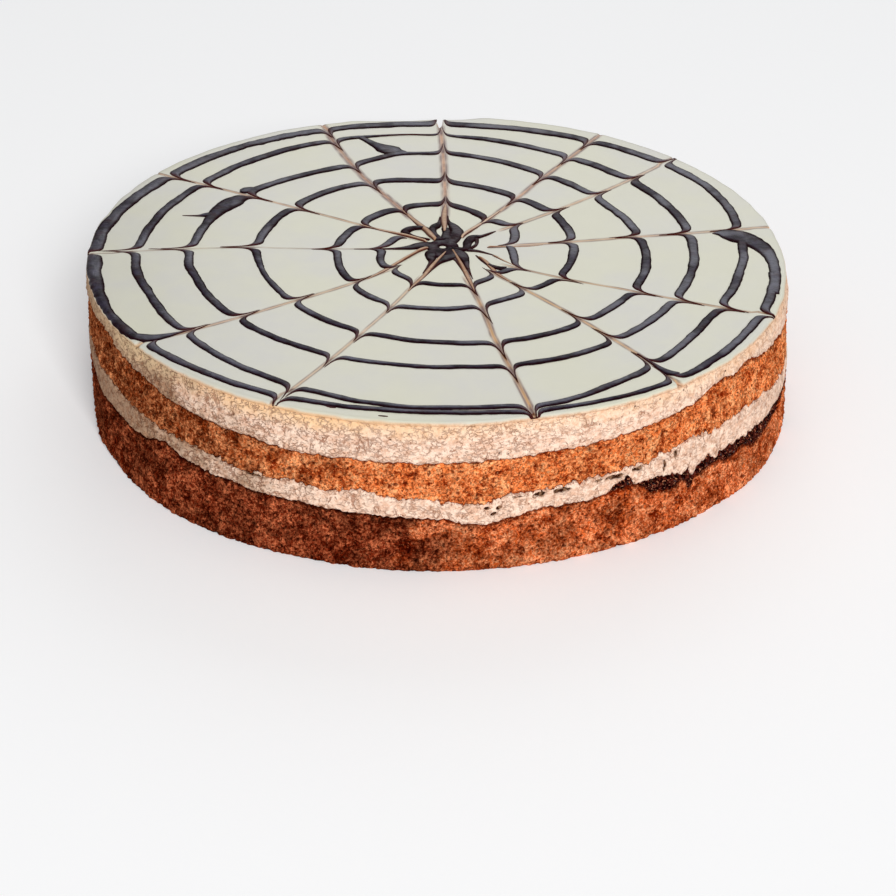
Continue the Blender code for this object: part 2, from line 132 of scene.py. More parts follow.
# The drizzle is one spiral round a point near the middle of the icing. Each row is a turn, with a
# radius in millimetres every 30 degrees from +X. The first turn starts late
WEB_CENTRE = Vector((1.6 * MM, -3.0 * MM, 0))
SPIRAL_STEP = 30
SPIRAL_RADII = (
    None, None, None, None, None, 19.0, 21.0, 26.0, 28.5, 31.0, 30.5, 29.5,
    26.0, 30.5, 32.0, 38.0, 38.0, 37.0, 38.5, 42.0, 48.5, 49.5, 46.7, 47.5,
    49.0, 51.5, 55.0, 60.0, 66.0, 67.3, 68.5, 69.0, 71.5, 74.0, 75.7, 75.6,
    75.5, 75.5, 80.5, 89.0, 84.6, 90.0, 92.3, 92.3, 91.5, 90.7, 92.3, 91.0,
    93.5, 97.5, 102.0, 108.5, 111.7, 110.5, 112.0, 111.2, 114.0, 116.6, 114.2, 107.2,
    112.0, 121.0, 122.0, 121.0, 124.3, 126.0, 126.3, 126.0, 122.7, 119.8, 124.0, 122.0,
    122.5,
)

# Directions along the spiral are unwound, so each turn adds 360 degrees
SPIRAL_START = 152
SPIRAL_END = 5 * 360 + 352

# The drizzle's section: a low dome with its feet sunk in the icing
DRIZZLE_WIDTH = 3.8 * MM
WIDER_AT_BACK = 0.8 * MM
DRIZZLE_RISE = 0.55 * MM
DRIZZLE_FOOT = 0.3 * MM

# Where the drizzle is wider or thinner, and where it strays from its spiral: unwound direction,
# spread in degrees, change in millimetres
WIDTH_CHANGES = (
    (3 * 360 + 157, 7, 4.6), (2 * 360 + 200, 14, -1.2), (4 * 360 + 98, 11, -3.7),
    (3 * 360 + 96, 6, -2.0), (5 * 360 + 165, 45, 1.5), (5 * 360 + 352, 14, 0.3),
    (4 * 360 + 268, 18, -0.5), (5 * 360 + 268, 18, -0.4), (3 * 360 + 270, 25, -0.4),
    (5 * 360 + 90, 30, 1.5), (5 * 360 + 192, 12, 1.4), (4 * 360 + 45, 20, 0.6),
    (5 * 360 + 45, 20, 0.6), (5 * 360 + 298, 12, -0.8),
)
STRAYS = (
    (3 * 360 + 103, 6, 2.2), (5 * 360 + 178, 16, 2.0), (5 * 360 + 205, 12, 1.8),
    (4 * 360 + 261, 10, 0.8), (3 * 360 + 190, 8, 1.3), (4 * 360 + 190, 8, 1.3),
    (4 * 360 + 288, 8, 2.8), (5 * 360 + 297, 10, -1.2),
)
WANDER = 0.45 * MM

# Where the drizzle's edge is rough, and where the icing's rim is broken: direction and spread
ROUGH_DRIZZLE = (5 * 360 + 124, 9)
BROKEN_RIM = (202, 13)

# Places across a stroke from -1 to 1, closer at its edges, and how much darker it is at each: painted
# # shade on the drizzle, browner edges on the bands
PROFILE = np.array([-1, -0.97, -0.88, -0.74, -0.52, -0.27, 0, 0.27, 0.52, 0.74, 0.88, 0.97, 1])
EDGE_SHADE_SHARES = np.clip((np.abs(PROFILE) - 0.4) / 0.42, 0, 1)

# A skewer was drawn through the drizzle along each ray. Its direction in degrees at 30, 70 and
# 125 mm from the web's centre, 1 where it was drawn outward or -1 where it was drawn inward, how
# deeply it notched the icing's rim, the half-width of its streak, how strongly the streak shows,
# how golden or, below 0, how brown it is, and how far it took the chocolate along. Lengths are in
# millimetres
Ray = namedtuple("Ray", "inner middle outer way notch half shows gold smear")
RAYS = (
    Ray(6.0, 9.0, 10.0, -1, 1.5, 0.85, 0.7, 0.0, 7),
    Ray(36.0, 39.0, 42.5, 1, 2.0, 0.8, 0.7, 0.1, 5),
    Ray(55.5, 58.5, 59.3, -1, 1.0, 0.95, 0.95, -0.5, 6),
    Ray(88.5, 89.8, 90.8, 1, 9.0, 1.1, 1.0, -0.35, 9),
    Ray(116.0, 117.0, 114.0, -1, 1.0, 1.15, 1.0, -0.6, 8),
    Ray(149.3, 149.8, 150.6, -1, 1.0, 0.6, 0.75, 0.2, 7),
    Ray(184.5, 181.7, 184.0, 1, 1.0, 0.4, 0.25, 0.0, 14),
    Ray(225.0, 220.8, 217.6, -1, 2.5, 0.7, 0.65, 0.0, 6),
    Ray(251.5, 248.3, 245.2, 1, 0.5, 0.6, 0.6, 0.3, 5),
    Ray(288.0, 284.3, 283.7, 1, 1.2, 0.85, 1.0, 1.0, 15),
    Ray(311.5, 310.8, 308.4, -1, 2.5, 0.75, 0.85, 0.7, 7),
    Ray(328.5, 333.4, 336.3, 1, 0.8, 0.55, 0.75, 0.5, 9),
)
RAY_RADII = (30.0 * MM, 70.0 * MM, 125.0 * MM)
RAY_START = 24.0 * MM
STREAK_HALF_WIDTH = 0.4 * MM
NOTCH_HALF_WIDTH = 1.4 * MM
GROOVE_HALF_WIDTH = 0.5 * MM
GROOVE_DEPTH = 0.12 * MM

# The deepest notch is a slit that runs down into the cream. The drizzle keeps clear of it
SLIT_HALF_WIDTH = 1.5 * MM
SLIT_STEEPNESS = 0.22
SLIT_HALF_ANGLE = 0.6
SLIT_FROM_RADIUS = 115.0 * MM
SLIT_GAP = 1.4 * MM
SLIT_HEIGHT = 6 * MM

# The sheet of icing: steps to each side of a ray, columns between those, the width of a row, where
# the rows end and how far out they give way to a notch, and the angles round the lip
STREAK_STEPS = np.array([0, 0.2, 0.4, 0.6, 0.8, 1.05, 1.5, 2.2, 3.4]) * MM
STEPS_SHARE = 0.42
BETWEEN_COLUMNS = 22
FAR_FROM_RAY = 20 * MM
SHEET_ROW = 1.6 * MM
SHEET_ROWS_END = TOP_RADIUS - 10 * MM
NOTCH_FREE_RADIUS = TOP_RADIUS - 8 * MM
SHARES_TO_LIP = (0.3, 0.55, 0.75, 0.9)
LIP_ANGLES = (0, 18, 36, 54, 72, 90)
RINGS_BELOW = 3
SUNK_IN_CREAM = 0.1 * MM

# The drag dies away to the side of a ray: a long thin tail beside it, and a wider shoulder
TAIL_LENGTH = 5.5 * MM
TAIL_SPREAD = 0.7 * MM
FULL_TAIL_RADIUS = 55.0 * MM
SHOULDER_LENGTH = 2.2 * MM
SHOULDER_SPREAD = 1.7 * MM

# Steps along a stroke, closest beside a ray, how far it stays inside the rim, and how many rounds
# find where two lines meet
SIDE_STEPS = np.array([0, 0.07, 0.15, 0.25, 0.38, 0.55, 0.8, 1.15, 1.6, 2.3, 3.2, 4.4]) * MM
STROKE_STEP = 0.8 * MM
STROKE_INSET = 0.15 * MM
REFINEMENTS = 3
DRAG_SEED = 7

# What runs across the spiral or lies beside it: direction in degrees, radius and half-width in
# millimetres
ACROSS = {
    "hook": (
        (344, 123.2, 1.9), (350, 122.6, 2.2), (355, 122.2, 2.3), (359, 121.2, 3.0), (2.6, 118.8, 4.4),
        (5.6, 114.8, 5.4), (7.2, 110.8, 5.4), (8.0, 107.8, 3.9), (8.4, 105.6, 1.6), (8.6, 103.6, 0.4),
    ),
    "bridge": (
        (99.6, 90.8, 0.8), (101.2, 91.6, 2.6), (102.8, 93.2, 4.4), (104.4, 96.0, 4.6),
        (106.0, 100.4, 2.7), (107.3, 105.4, 1.8), (108.4, 110.6, 1.6),
    ),
    "spur": ((163.6, 91.5, 2.8), (164.6, 94.6, 1.8), (165.4, 97.2, 0.7), (166.2, 103.0, 0.2)),
    "ball": ((145.8, 89.8, 1.8), (147.2, 91.2, 2.8), (148.4, 92.6, 2.7), (149.0, 93.8, 1.2)),
    "left_end": (
        (213.6, 127.6, 1.0), (215.2, 126.2, 2.3), (216.8, 123.2, 2.6), (217.6, 118.6, 1.7),
        (217.9, 113.6, 0.7), (218.2, 107.0, 0.2),
    ),
    "right_end": (
        (310.2, 121.4, 0.9), (309.2, 119.6, 1.6), (308.9, 116.0, 1.3), (309.1, 111.0, 0.7),
        (309.5, 103.0, 0.25),
    ),
    "speck": ((252.4, 122.3, 0.25), (253.4, 122.6, 0.4), (254.2, 122.4, 0.25)),
    "small_speck": ((260.8, 123.7, 0.2), (261.6, 123.8, 0.3), (262.2, 123.7, 0.2)),
}

# The dark heart of the web, stroke by stroke: place from the web's centre and half-width, in millimetres
HEART = {
    "upper_right_petal": (
        (1.5, 3.0, 2.6), (4.0, 8.5, 3.2), (5.3, 13.5, 2.7), (3.9, 18.5, 1.9), (2.1, 22.5, 0.8),
        (1.7, 28.0, 0.3),
    ),
    "upper_left_petal": (
        (-1.2, 6.0, 1.8), (-3.2, 11.5, 1.2), (-3.9, 15.5, 1.6), (-2.7, 18.3, 2.0), (-1.5, 21.3, 0.9),
        (-1.1, 27.0, 0.3),
    ),
    "upper_limb": ((1.0, 6.0, 2.4), (1.5, 12.0, 1.8), (0.9, 16.5, 1.7)),
    "loop": (
        (-5.4, 15.0, 1.2), (-8.5, 16.5, 1.5), (-12.4, 15.4, 1.9), (-14.4, 12.4, 1.8),
        (-12.6, 10.2, 1.1), (-9.5, 8.4, 0.5), (-5.0, 6.2, 0.8),
    ),
    "left_petal": (
        (-3.0, 1.5, 2.6), (-8.0, 1.2, 2.7), (-12.0, -0.7, 1.8), (-15.5, -1.6, 1.1), (-21.0, -2.2, 0.6),
        (-27.0, -2.5, 0.45), (-33.0, -2.7, 0.2),
    ),
    "lower_left_petal": (
        (-1.5, -2.5, 2.4), (-4.0, -5.4, 2.7), (-4.3, -9.0, 2.0), (-4.3, -12.5, 1.0),
        (-5.6, -17.0, 0.45), (-7.2, -22.0, 0.2),
    ),
    "lower_mass": ((-2.0, -3.0, 2.6), (-1.2, -6.6, 2.4), (-2.2, -9.0, 1.6)),
    "lower_petal": (
        (1.0, -3.5, 3.0), (3.0, -7.0, 3.3), (1.4, -9.6, 2.2), (-1.4, -13.4, 1.0), (-3.8, -18.5, 0.5),
        (-5.6, -23.0, 0.2),
    ),
    "ray_side": ((3.8, -8.0, 1.2), (5.0, -11.5, 0.6), (6.6, -17.0, 0.35), (8.0, -22.0, 0.2)),
    "lower_right_petal": (
        (3.0, -2.5, 2.4), (6.6, -6.0, 2.6), (8.3, -11.0, 1.6), (9.0, -16.0, 0.9), (9.9, -21.0, 0.45),
        (10.9, -26.0, 0.2),
    ),
    "right_loop": (
        (3.0, -1.0, 1.6), (8.4, -1.6, 1.6), (9.2, 4.0, 1.8), (11.2, 8.2, 2.2), (14.5, 9.8, 1.0),
        (17.5, 12.2, 0.7), (20.0, 14.6, 0.25),
    ),
    "right_loop_back": ((12.6, 8.0, 1.0), (12.6, 3.0, 0.7), (10.3, -1.0, 0.9)),
    "right_curl": ((9.0, -2.2, 1.2), (13.0, -3.0, 0.9), (17.5, -5.4, 0.5), (20.5, -7.5, 0.2)),
    "lower_curl": (
        (12.2, -6.4, 0.3), (14.4, -10.6, 0.7), (17.2, -14.6, 1.0), (20.6, -17.0, 1.4),
        (23.4, -17.2, 1.7),
    ),
}

# How high the heart's strokes stand, in turn, so that each shows on the others
HEART_LIFTS = (1.0, 1.12, 1.24, 1.36)

# The ring round a small bubble in the middle of the heart
HEART_RING_RADIUS = 3.7
HEART_RING_HALF = 2.5
HEART_RING_STEP = 24

# Where the skewer cleared a band through the heart: how pale it is, and its route by direction in
# degrees, radius and half-width in millimetres
BANDS = (
    (0.5, ((1, 16.5, 0.2), (2, 20.0, 0.4), (3.6, 32.0, 0.55), (5.5, 38.0, 0.3))),
    (0.75, ((50, 11.0, 0.6), (54, 14.2, 0.8), (55.4, 21.8, 0.9), (56.2, 34.0, 0.7), (56.5, 40.0, 0.3))),
    (0.2, ((87, 12.5, 0.5), (88, 17.0, 1.0), (89, 23.0, 1.3), (89, 31.0, 1.2), (88.6, 38.0, 0.5))),
    (0.15, (
        (113.4, 6.5, 0.9), (113.8, 11.0, 1.3), (113.9, 16.4, 1.3), (115, 25.0, 1.1), (115.8, 36.0, 0.5),
    )),
    (0.45, (
        (143, 7.5, 0.5), (145, 13.0, 0.7), (147, 20.0, 0.8), (148.6, 28.0, 0.7), (149.3, 37.0, 0.3),
    )),
    (0.3, (
        (185, 5.2, 0.8), (200, 9.0, 0.8), (210, 12.4, 0.6), (219, 20.3, 0.75), (223.5, 30.0, 0.8),
        (225, 38.0, 0.3),
    )),
    (0.2, (
        (295, 4.0, 0.4), (266, 8.5, 0.6), (258, 14.8, 0.9), (254.3, 24.4, 0.9), (252.2, 32.0, 0.7),
        (251.5, 38.0, 0.3),
    )),
    (0.0, (
        (330, 3.9, 0.4), (300, 10.9, 0.7), (293.5, 18.5, 0.9), (290.4, 27.0, 0.9), (288.2, 37.0, 0.4),
    )),
    (0.0, (
        (329, 15.0, 0.3), (324, 19.0, 0.8), (318, 23.5, 1.0), (313.6, 28.5, 0.8), (311.5, 36.0, 0.4),
    )),
    (0.2, ((341, 19.5, 0.3), (334, 25.6, 0.45), (330, 32.0, 0.3))),
)

# How high a band stands in the heart and outside it, and how far out it goes from one to the other
BAND_RISES = (0.8 * MM, 0.16 * MM)
BAND_LEVELS = (17.0 * MM, 27.0 * MM)

# Colours
Crumb = namedtuple("Crumb", "dark middle light")


def srgb(red, green, blue):
    """Linear colour from the usual 0 to 255 numbers."""
    return tuple(((value / 255 + 0.055) / 1.055) ** 2.4 if value > 10 else value / 255 / 12.92
                 for value in (red, green, blue))


# Crumb towards -X is darker and browner, partly its baked colour and partly painted shade where the light
# falls off
LOWER_WEST = Crumb(srgb(48, 4, 0), srgb(106, 33, 12), srgb(194, 106, 68))
LOWER_EAST = Crumb(srgb(104, 26, 3), srgb(204, 94, 43), srgb(240, 158, 110))
UPPER_WEST = Crumb(srgb(72, 18, 1), srgb(146, 64, 27), srgb(222, 144, 94))
UPPER_EAST = Crumb(srgb(128, 34, 4), srgb(246, 130, 66), srgb(250, 176, 120))
CREAM_SHADE = srgb(223, 180, 153)
CREAM_LIGHT = srgb(246, 216, 194)
# Painted shade in the cream's wrinkles, splits and dips
CREAM_CREASE_SHADE = srgb(148, 86, 54)
# Painted shade multiplied onto the cream towards -X, where the light falls off
CREAM_WEST_PAINTED_SHADE = srgb(186, 173, 158)
# Painted shade inside pits and cavities, darker and softer
CREAM_HOLE_SHADE = srgb(60, 28, 14)
CREAM_HOLE_SOFT_SHADE = srgb(158, 120, 92)
CREAM_CRUMB = srgb(128, 56, 26)
# Painted shade on the icing's lip, which faces the light
LIP_PAINTED_SHADE = srgb(230, 228, 224)
STAIN_EAST = srgb(242, 198, 148)
STAIN_WEST = srgb(222, 192, 152)
STREAK_PEACH = srgb(204, 149, 104)
STREAK_GOLD = srgb(200, 144, 70)
STREAK_BROWN = srgb(132, 80, 54)
STREAK_EDGE = srgb(82, 30, 16)
BAND_TAN = srgb(166, 122, 86)
BAND_PALE = srgb(212, 182, 154)
SHEEN = srgb(218, 224, 255)
ICING_WARM = srgb(210, 208, 187)
ICING_COOL = srgb(206, 204, 195)
ICING_CLOUD = tuple(value * 1.05 for value in ICING_WARM)
# The drizzle's edge colour is painted shade
WEB_EDGE_SHADE, WEB_THIN, WEB_WINE = srgb(30, 6, 9), srgb(68, 24, 20), srgb(44, 12, 17)
# The drizzle's lighter, bluish tone is a painted sheen
WEB_DARK, WEB_PAINTED_SHEEN = srgb(21, 11, 18), srgb(52, 45, 62)
HEART_DARK, HEART_LIGHT = srgb(18, 3, 6), srgb(42, 18, 30)
FUDGE_DARK, FUDGE_LIGHT = srgb(18, 1, 2), srgb(104, 42, 30)
FUDGE_CRUMB = srgb(206, 138, 100)

# The camera, fitted to the photograph: it looks from -Y, above the rim. Its angles are degrees and its
# lens is in millimetres
CAMERA_DISTANCE = 0.7
CAMERA_ELEVATION = 29.547
CAMERA_LOOKS_DOWN = 32.038
CAMERA_TURN = 0.463
CAMERA_ROLL = 1.05
CAMERA_LENS = 72.07

FLOOR_HALF = 3.0
LIGHT_DISTANCE = 6.0


class Value:
    """A number that changes over a surface. It adds, subtracts and multiplies like any number."""

    def __init__(self, look, socket):
        self.look = look
        self.socket = socket

    def __add__(self, other):
        return self.look.math("ADD", self, other)

    def __sub__(self, other):
        return self.look.math("SUBTRACT", self, other)

    def __mul__(self, other):
        return self.look.math("MULTIPLY", self, other)


class Shading:
    """Node tree of one material, with short calls for the few kinds of node used here."""

    def __init__(self, name):
        self.material = bpy.data.materials.new(name)
        self.material.use_nodes = True
        self.tree = self.material.node_tree
        self.shader = self.tree.nodes["Principled BSDF"]
        self.place = self.add("ShaderNodeTexCoord").outputs["Object"]

    def add(self, kind, **settings):
        made = self.tree.nodes.new(kind)
        for key, value in settings.items():
            setattr(made, key, value)
        return made

    def put(self, socket, value):
        """Links an output to a socket, or sets the socket's own value."""
        if isinstance(value, Value):
            self.tree.links.new(value.socket, socket)
        elif isinstance(value, bpy.types.NodeSocket):
            self.tree.links.new(value, socket)
        elif isinstance(value, tuple) and socket.type == "RGBA":
            socket.default_value = (*value[:3], 1)
        else:
            socket.default_value = value

    def stretched(self, stretch, shift=0):
        """Places on the object, stretched along its axes and shifted."""
        made = self.add("ShaderNodeMapping")
        self.put(made.inputs["Vector"], self.place)
        made.inputs["Scale"].default_value = stretch
        made.inputs["Location"].default_value = (shift, shift, shift)
        return made.outputs["Vector"]

    def noise(self, size, detail=3.0, rough=0.6, stretch=(1, 1, 1), shift=0):
        """Noise from 0 to 1, with bumps of about the given size."""
        made = self.add("ShaderNodeTexNoise")
        self.put(made.inputs["Vector"], self.stretched(stretch, shift))
        made.inputs["Scale"].default_value = 1 / size
        made.inputs["Detail"].default_value = detail
        made.inputs["Roughness"].default_value = rough
        return Value(self, made.outputs["Fac"])

    def cracks(self, size, ragged, stretch=(1, 1, 1), shift=0):
        """Distance to the nearest line of a net of cracks, in cells."""
        push = self.add("ShaderNodeTexNoise")
        place = self.stretched(stretch, shift)
        self.put(push.inputs["Vector"], place)
        push.inputs["Scale"].default_value = 1 / (size * 0.8)
        push.inputs["Detail"].default_value = 3
        moved = self.add("ShaderNodeVectorMath", operation="MULTIPLY_ADD")
        self.put(moved.inputs[0], push.outputs["Color"])
        moved.inputs[1].default_value = (size * ragged,) * 3
        self.put(moved.inputs[2], place)
        made = self.add("ShaderNodeTexVoronoi", feature="DISTANCE_TO_EDGE")
        self.put(made.inputs["Vector"], moved.outputs[0])
        made.inputs["Scale"].default_value = 1 / size
        return Value(self, made.outputs["Distance"])

    def attribute(self, name):
        """Values that the mesh carries under a name."""
        return Value(self, self.add("ShaderNodeAttribute", attribute_name=name).outputs["Fac"])

    def math(self, operation, first, second):
        made = self.add("ShaderNodeMath", operation=operation)
        self.put(made.inputs[0], first)
        self.put(made.inputs[1], second)
        return Value(self, made.outputs[0])

    def larger(self, first, second):
        return self.math("MAXIMUM", first, second)

    def span(self, source, low, high, to_low=0.0, to_high=1.0):
        """The source from low to high, spread smoothly over another range."""
        made = self.add("ShaderNodeMapRange", interpolation_type="SMOOTHSTEP")
        self.put(made.inputs["Value"], source)
        limits = {"From Min": low, "From Max": high, "To Min": to_low, "To Max": to_high}
        for key, value in limits.items():
            made.inputs[key].default_value = value
        return Value(self, made.outputs["Result"])

    def mix(self, share, first, second, blend="MIX"):
        made = self.add("ShaderNodeMix", data_type="RGBA", blend_type=blend)
        self.put(made.inputs[0], share)
        self.put(made.inputs[6], first)
        self.put(made.inputs[7], second)
        return made.outputs[2]

    def bump(self, height, distance, strength=1.0):
        made = self.add("ShaderNodeBump")
        made.inputs["Distance"].default_value = distance
        made.inputs["Strength"].default_value = strength
        self.put(made.inputs["Height"], height)
        return made.outputs["Normal"]

    def set(self, **values):
        """Sets the shader's inputs: Base_Color stands for Base Color."""
        for key, value in values.items():
            self.put(self.shader.inputs[key.replace("_", " ")], value)


def crumb_colour(look, crumb, patches, grain):
    """One crumb's colours, from its dark to its light one."""
    dull = look.mix(patches, crumb.dark, crumb.middle)
    bright = look.mix(patches, crumb.middle, crumb.light)
    return look.mix(grain, dull, bright)


def sponge_material(name, west, east, start, end, broad_range):
    """Open crumb, darker and browner towards -X and more orange towards +X, partly its baked colour
    and partly painted shade where the light falls off: mottled light and dark, with painted highlights
    on raised crumbs and painted shade in dips, dark pores of painted shade, deepest where the mesh is
    hollow, and a ragged dark band of crust and painted shade. The broad range says how dark and how
    bright large patches of it are."""
    look = Shading(name)
    patches = look.span(look.noise(6 * MM, 5, 0.72), 0.38, 0.62)
    fine = look.noise(1.0 * MM, 4, 0.75)
    # Painted light: raised crumbs are lighter and dips darker
    relief = look.attribute("raised") * 0.2
    grain = look.span(fine + relief, 0.41, 0.62)
    share = eastward(look, start, end)
    western = crumb_colour(look, west, patches, grain)
    eastern = crumb_colour(look, east, patches, grain)
    colour = look.mix(share, western, eastern)
    # Painted shade, darker and redder, for pores and hollows, and for the band of crust and painted shade
    deep = look.mix(share, shaded_crumb(west.dark), shaded_crumb(east.dark))
    clusters = look.span(look.noise(2.8 * MM, 4, 0.72, shift=0.6), 0.56, 0.66, 0, 0.7)
    open_pores = look.span(look.noise(1.2 * MM, 3, 0.75, shift=0.4), 0.56, 0.64, 0, 0.85)
    hollow = look.span(look.attribute("hollow"), 0.08, 0.7, 0, 0.9)
    pore_shade = look.larger(look.larger(clusters, open_pores), hollow)
    colour = look.mix(pore_shade, colour, deep)
    # A ragged dark band along the seams, partly crust and partly painted shade under the layer above
    ragged = (look.noise(1.6 * MM, 4, 0.7, shift=0.1) - 0.5) * 1.6
    crust_and_shade = look.span(look.attribute("crust_and_shade") + ragged, 0.45, 0.8, 0, 0.85)
    colour = look.mix(crust_and_shade, colour, deep)
    light_crumbs = look.span(look.noise(0.8 * MM, 3, 0.6, shift=0.9), 0.58, 0.67, 0, 0.45)
    colour = look.mix(light_crumbs, colour, look.mix(share, west.light, east.light))
    speckle = look.span(look.noise(0.7 * MM, 2, 0.7, shift=0.2), 0.36, 0.64, 0.64, 1.34)
    broad = look.span(look.noise(13 * MM, 3, 0.55, shift=1.3), 0.38, 0.62, *broad_range)
    colour = look.mix(1.0, colour, speckle * broad, "MULTIPLY")
    normal = look.bump(fine - open_pores * 0.5, 0.7 * MM)
    look.set(Base_Color=colour, Roughness=1.0, Normal=normal, Specular_IOR_Level=0.0)
    return look.material


def shaded_crumb(colour):
    """Painted shade of a hollow in crumb of a colour, also used for its crust: darker and redder."""
    red, green, blue = colour
    return red * 0.55, green * 0.4, blue * 0.25


def eastward(look, start, end):
    """0 towards -X and 1 towards +X, with a ragged change between two places."""
    parts = look.add("ShaderNodeSeparateXYZ")
    look.put(parts.inputs[0], look.place)
    ragged = (look.noise(13 * MM, 4, 0.6) - 0.5) * 0.13
    return look.span(Value(look, parts.outputs["X"]) + ragged, start, end)


def stain_colour(look):
    """The colour of the cream and the icing's lip where they are stained."""
    return look.mix(eastward(look, -98 * MM, -70 * MM), STAIN_WEST, STAIN_EAST)


def thin_lines(look, size, width, kept, stretch, shift):
    """Parts of a net of thin cracks. The width is a share of the net's size."""
    net = look.span(look.cracks(size, 1.2, stretch, shift), width * 0.35, width, 1, 0)
    parts = look.span(look.noise(size * 1.3, 3, 0.6, shift=shift + 0.3), kept, kept + 0.1)
    return net * parts


def cream_colour(look, rough):
    """Softly mottled cream with thin wrinkles, more of them where it is rough, and upright splits, both
    dark with painted shade, with crumbs, and how open each place is."""
    tone = look.span(look.noise(2.6 * MM, 4, 0.7, (1, 1, 1.4)), 0.36, 0.6)
    colour = look.mix(tone, CREAM_SHADE, CREAM_LIGHT)
    grain = look.span(look.noise(0.6 * MM, 2, 0.6, shift=0.7), 0.35, 0.65, 0.88, 1.06)
    colour = look.mix(1.0, colour, grain, "MULTIPLY")
    wrinkles = thin_lines(look, 2.2 * MM, 0.1, 0.46, (1, 1, 1.7), 0.3)
    creases = thin_lines(look, 1.4 * MM, 0.12, 0.53, (1, 1, 1.3), 0.6)
    splits = thin_lines(look, 3.6 * MM, 0.055, 0.52, (1, 1, 0.5), 0.5)
    wrinkles = wrinkles * look.span(rough, 0, 1, 0.4, 1)
    wrinkles = look.larger(wrinkles, creases * rough)
    open_places = look.larger(wrinkles, splits)
    # Painted shade in the wrinkles and splits
    colour = look.mix(open_places * 0.68, colour, CREAM_CREASE_SHADE)
    near = look.attribute("seam") * 0.13
    grains = look.noise(0.8 * MM, 3, 0.7, shift=0.2)
    crumbs = look.span(grains + near, 0.66, 0.72, 0, 0.9)
    return look.mix(crumbs, colour, CREAM_CRUMB), open_places


def cream_material(name, start, end):
    """Scraped cream: mottled, wrinkled and pitted, with dark crumbs, and stained under the icing. Painted
    shade darkens its wrinkles, dips, pits and cavities, and painted highlights lighten its raised lumps.
    It is darker towards -X with painted shade where the light falls off, and lightens between two
    places."""
    look = Shading(name)
    colour, open_places = cream_colour(look, look.attribute("rough"))
    relief = look.attribute("raised")
    # Painted shade in dips and painted highlights on raised lumps
    colour = look.mix(look.span(relief, -0.55, -0.2, 0.4, 0), colour, CREAM_CREASE_SHADE)
    colour = look.mix(look.span(relief, 0.08, 0.4, 0, 0.4), colour, CREAM_LIGHT)
    # Painted shade towards -X, where the light falls off
    shaded_west = look.mix(1.0, colour, CREAM_WEST_PAINTED_SHADE, "MULTIPLY")
    colour = look.mix(eastward(look, start, end), shaded_west, colour)
    stain = look.attribute("stain") * look.span(look.noise(2 * MM, 3), 0.3, 0.6, 0.78, 1)
    stain = stain * look.span(open_places, 0.2, 0.8, 1, 0.3)
    stain = stain * look.span(relief, -0.4, -0.1, 0.3, 1)
    colour = look.mix(stain, colour, stain_colour(look))
    # Painted shade inside pits and cavities
    mottle = look.span(look.noise(1.6 * MM, 3, 0.7, shift=0.2), 0.46, 0.6)
    hole_shade = look.mix(mottle, CREAM_HOLE_SHADE, CREAM_HOLE_SOFT_SHADE)
    colour = look.mix(look.span(look.attribute("hollow"), 0.2, 0.55), colour, hole_shade)
    fine = look.noise(0.9 * MM, 3, 0.7, (1, 1, 1.5))
    normal = look.bump(fine * 0.6 - open_places * 0.7, 0.5 * MM)
    look.set(Base_Color=colour, Roughness=0.8, Normal=normal, Specular_IOR_Level=0.05)
    return look.material


def fudge_material():
    """Sticky dark fudge, lumpy and full of crumbs, with small glints."""
    look = Shading("fudge")
    tone = look.span(look.noise(1.4 * MM, 4, 0.75), 0.45, 0.64)
    colour = look.mix(tone, FUDGE_DARK, FUDGE_LIGHT)
    specks = look.span(look.noise(0.8 * MM, 2, 0.6, shift=0.5), 0.61, 0.67, 0, 0.9)
    colour = look.mix(specks, colour, FUDGE_CRUMB)
    normal = look.bump(look.noise(0.9 * MM, 3, 0.75), 1.2 * MM)
    glints = look.span(look.noise(0.9 * MM, 2, 0.6, shift=0.3), 0.6, 0.7, 0.0, 0.7)
    look.set(Base_Color=colour, Roughness=0.22, Normal=normal, Specular_IOR_Level=glints)
    return look.material


def icing_material():
    """Set icing: pale, faintly mottled and glossy, with tan and brown lines where the skewer ran.
    Its lip takes the colours of the cream that it was scraped off with, darkened a little with painted
    shade."""
    look = Shading("pale_icing")
    tone = look.span(look.noise(42 * MM, 3, 0.5), 0.32, 0.68)
    colour = look.mix(tone, ICING_WARM, ICING_COOL)
    clouds = look.span(look.noise(7 * MM, 4, 0.6, shift=0.7), 0.35, 0.7, 0, 0.3)
    colour = look.mix(clouds, colour, ICING_CLOUD)
    streak = look.attribute("streak")
    gold = look.span(look.noise(5 * MM, 3, 0.6, shift=0.1), 0.35, 0.65, -0.25, 0.25)
    gold = look.attribute("gold") + gold
    tan = look.mix(gold, STREAK_PEACH, STREAK_GOLD)
    tan = look.mix(gold * -1.0, tan, STREAK_BROWN)
    colour = look.mix(streak, colour, tan)
    fibres = streak_fibres(look) * look.span(streak, 0.1, 0.5, 0, 0.65)
    colour = look.mix(look.larger(look.attribute("line"), fibres), colour, STREAK_EDGE)
    cream = cream_colour(look, 0.25)[0]
    cream = look.mix(look.attribute("stain"), cream, stain_colour(look))
    # Painted shade on the lip
    cream = look.mix(1.0, cream, LIP_PAINTED_SHADE, "MULTIPLY")
    colour = look.mix(look.attribute("lip"), colour, cream)
    waves = look.bump(look.noise(11 * MM, 2, 0.5), 0.5 * MM, 0.12)
    shine = look.span(look.attribute("lip"), 0, 1, 0.28, 0.8)
    gloss = look.span(look.attribute("lip"), 0, 0.6, 0.4, 0.05)
    look.set(Base_Color=colour, Roughness=shine, Normal=waves, Specular_IOR_Level=gloss)
    return look.material


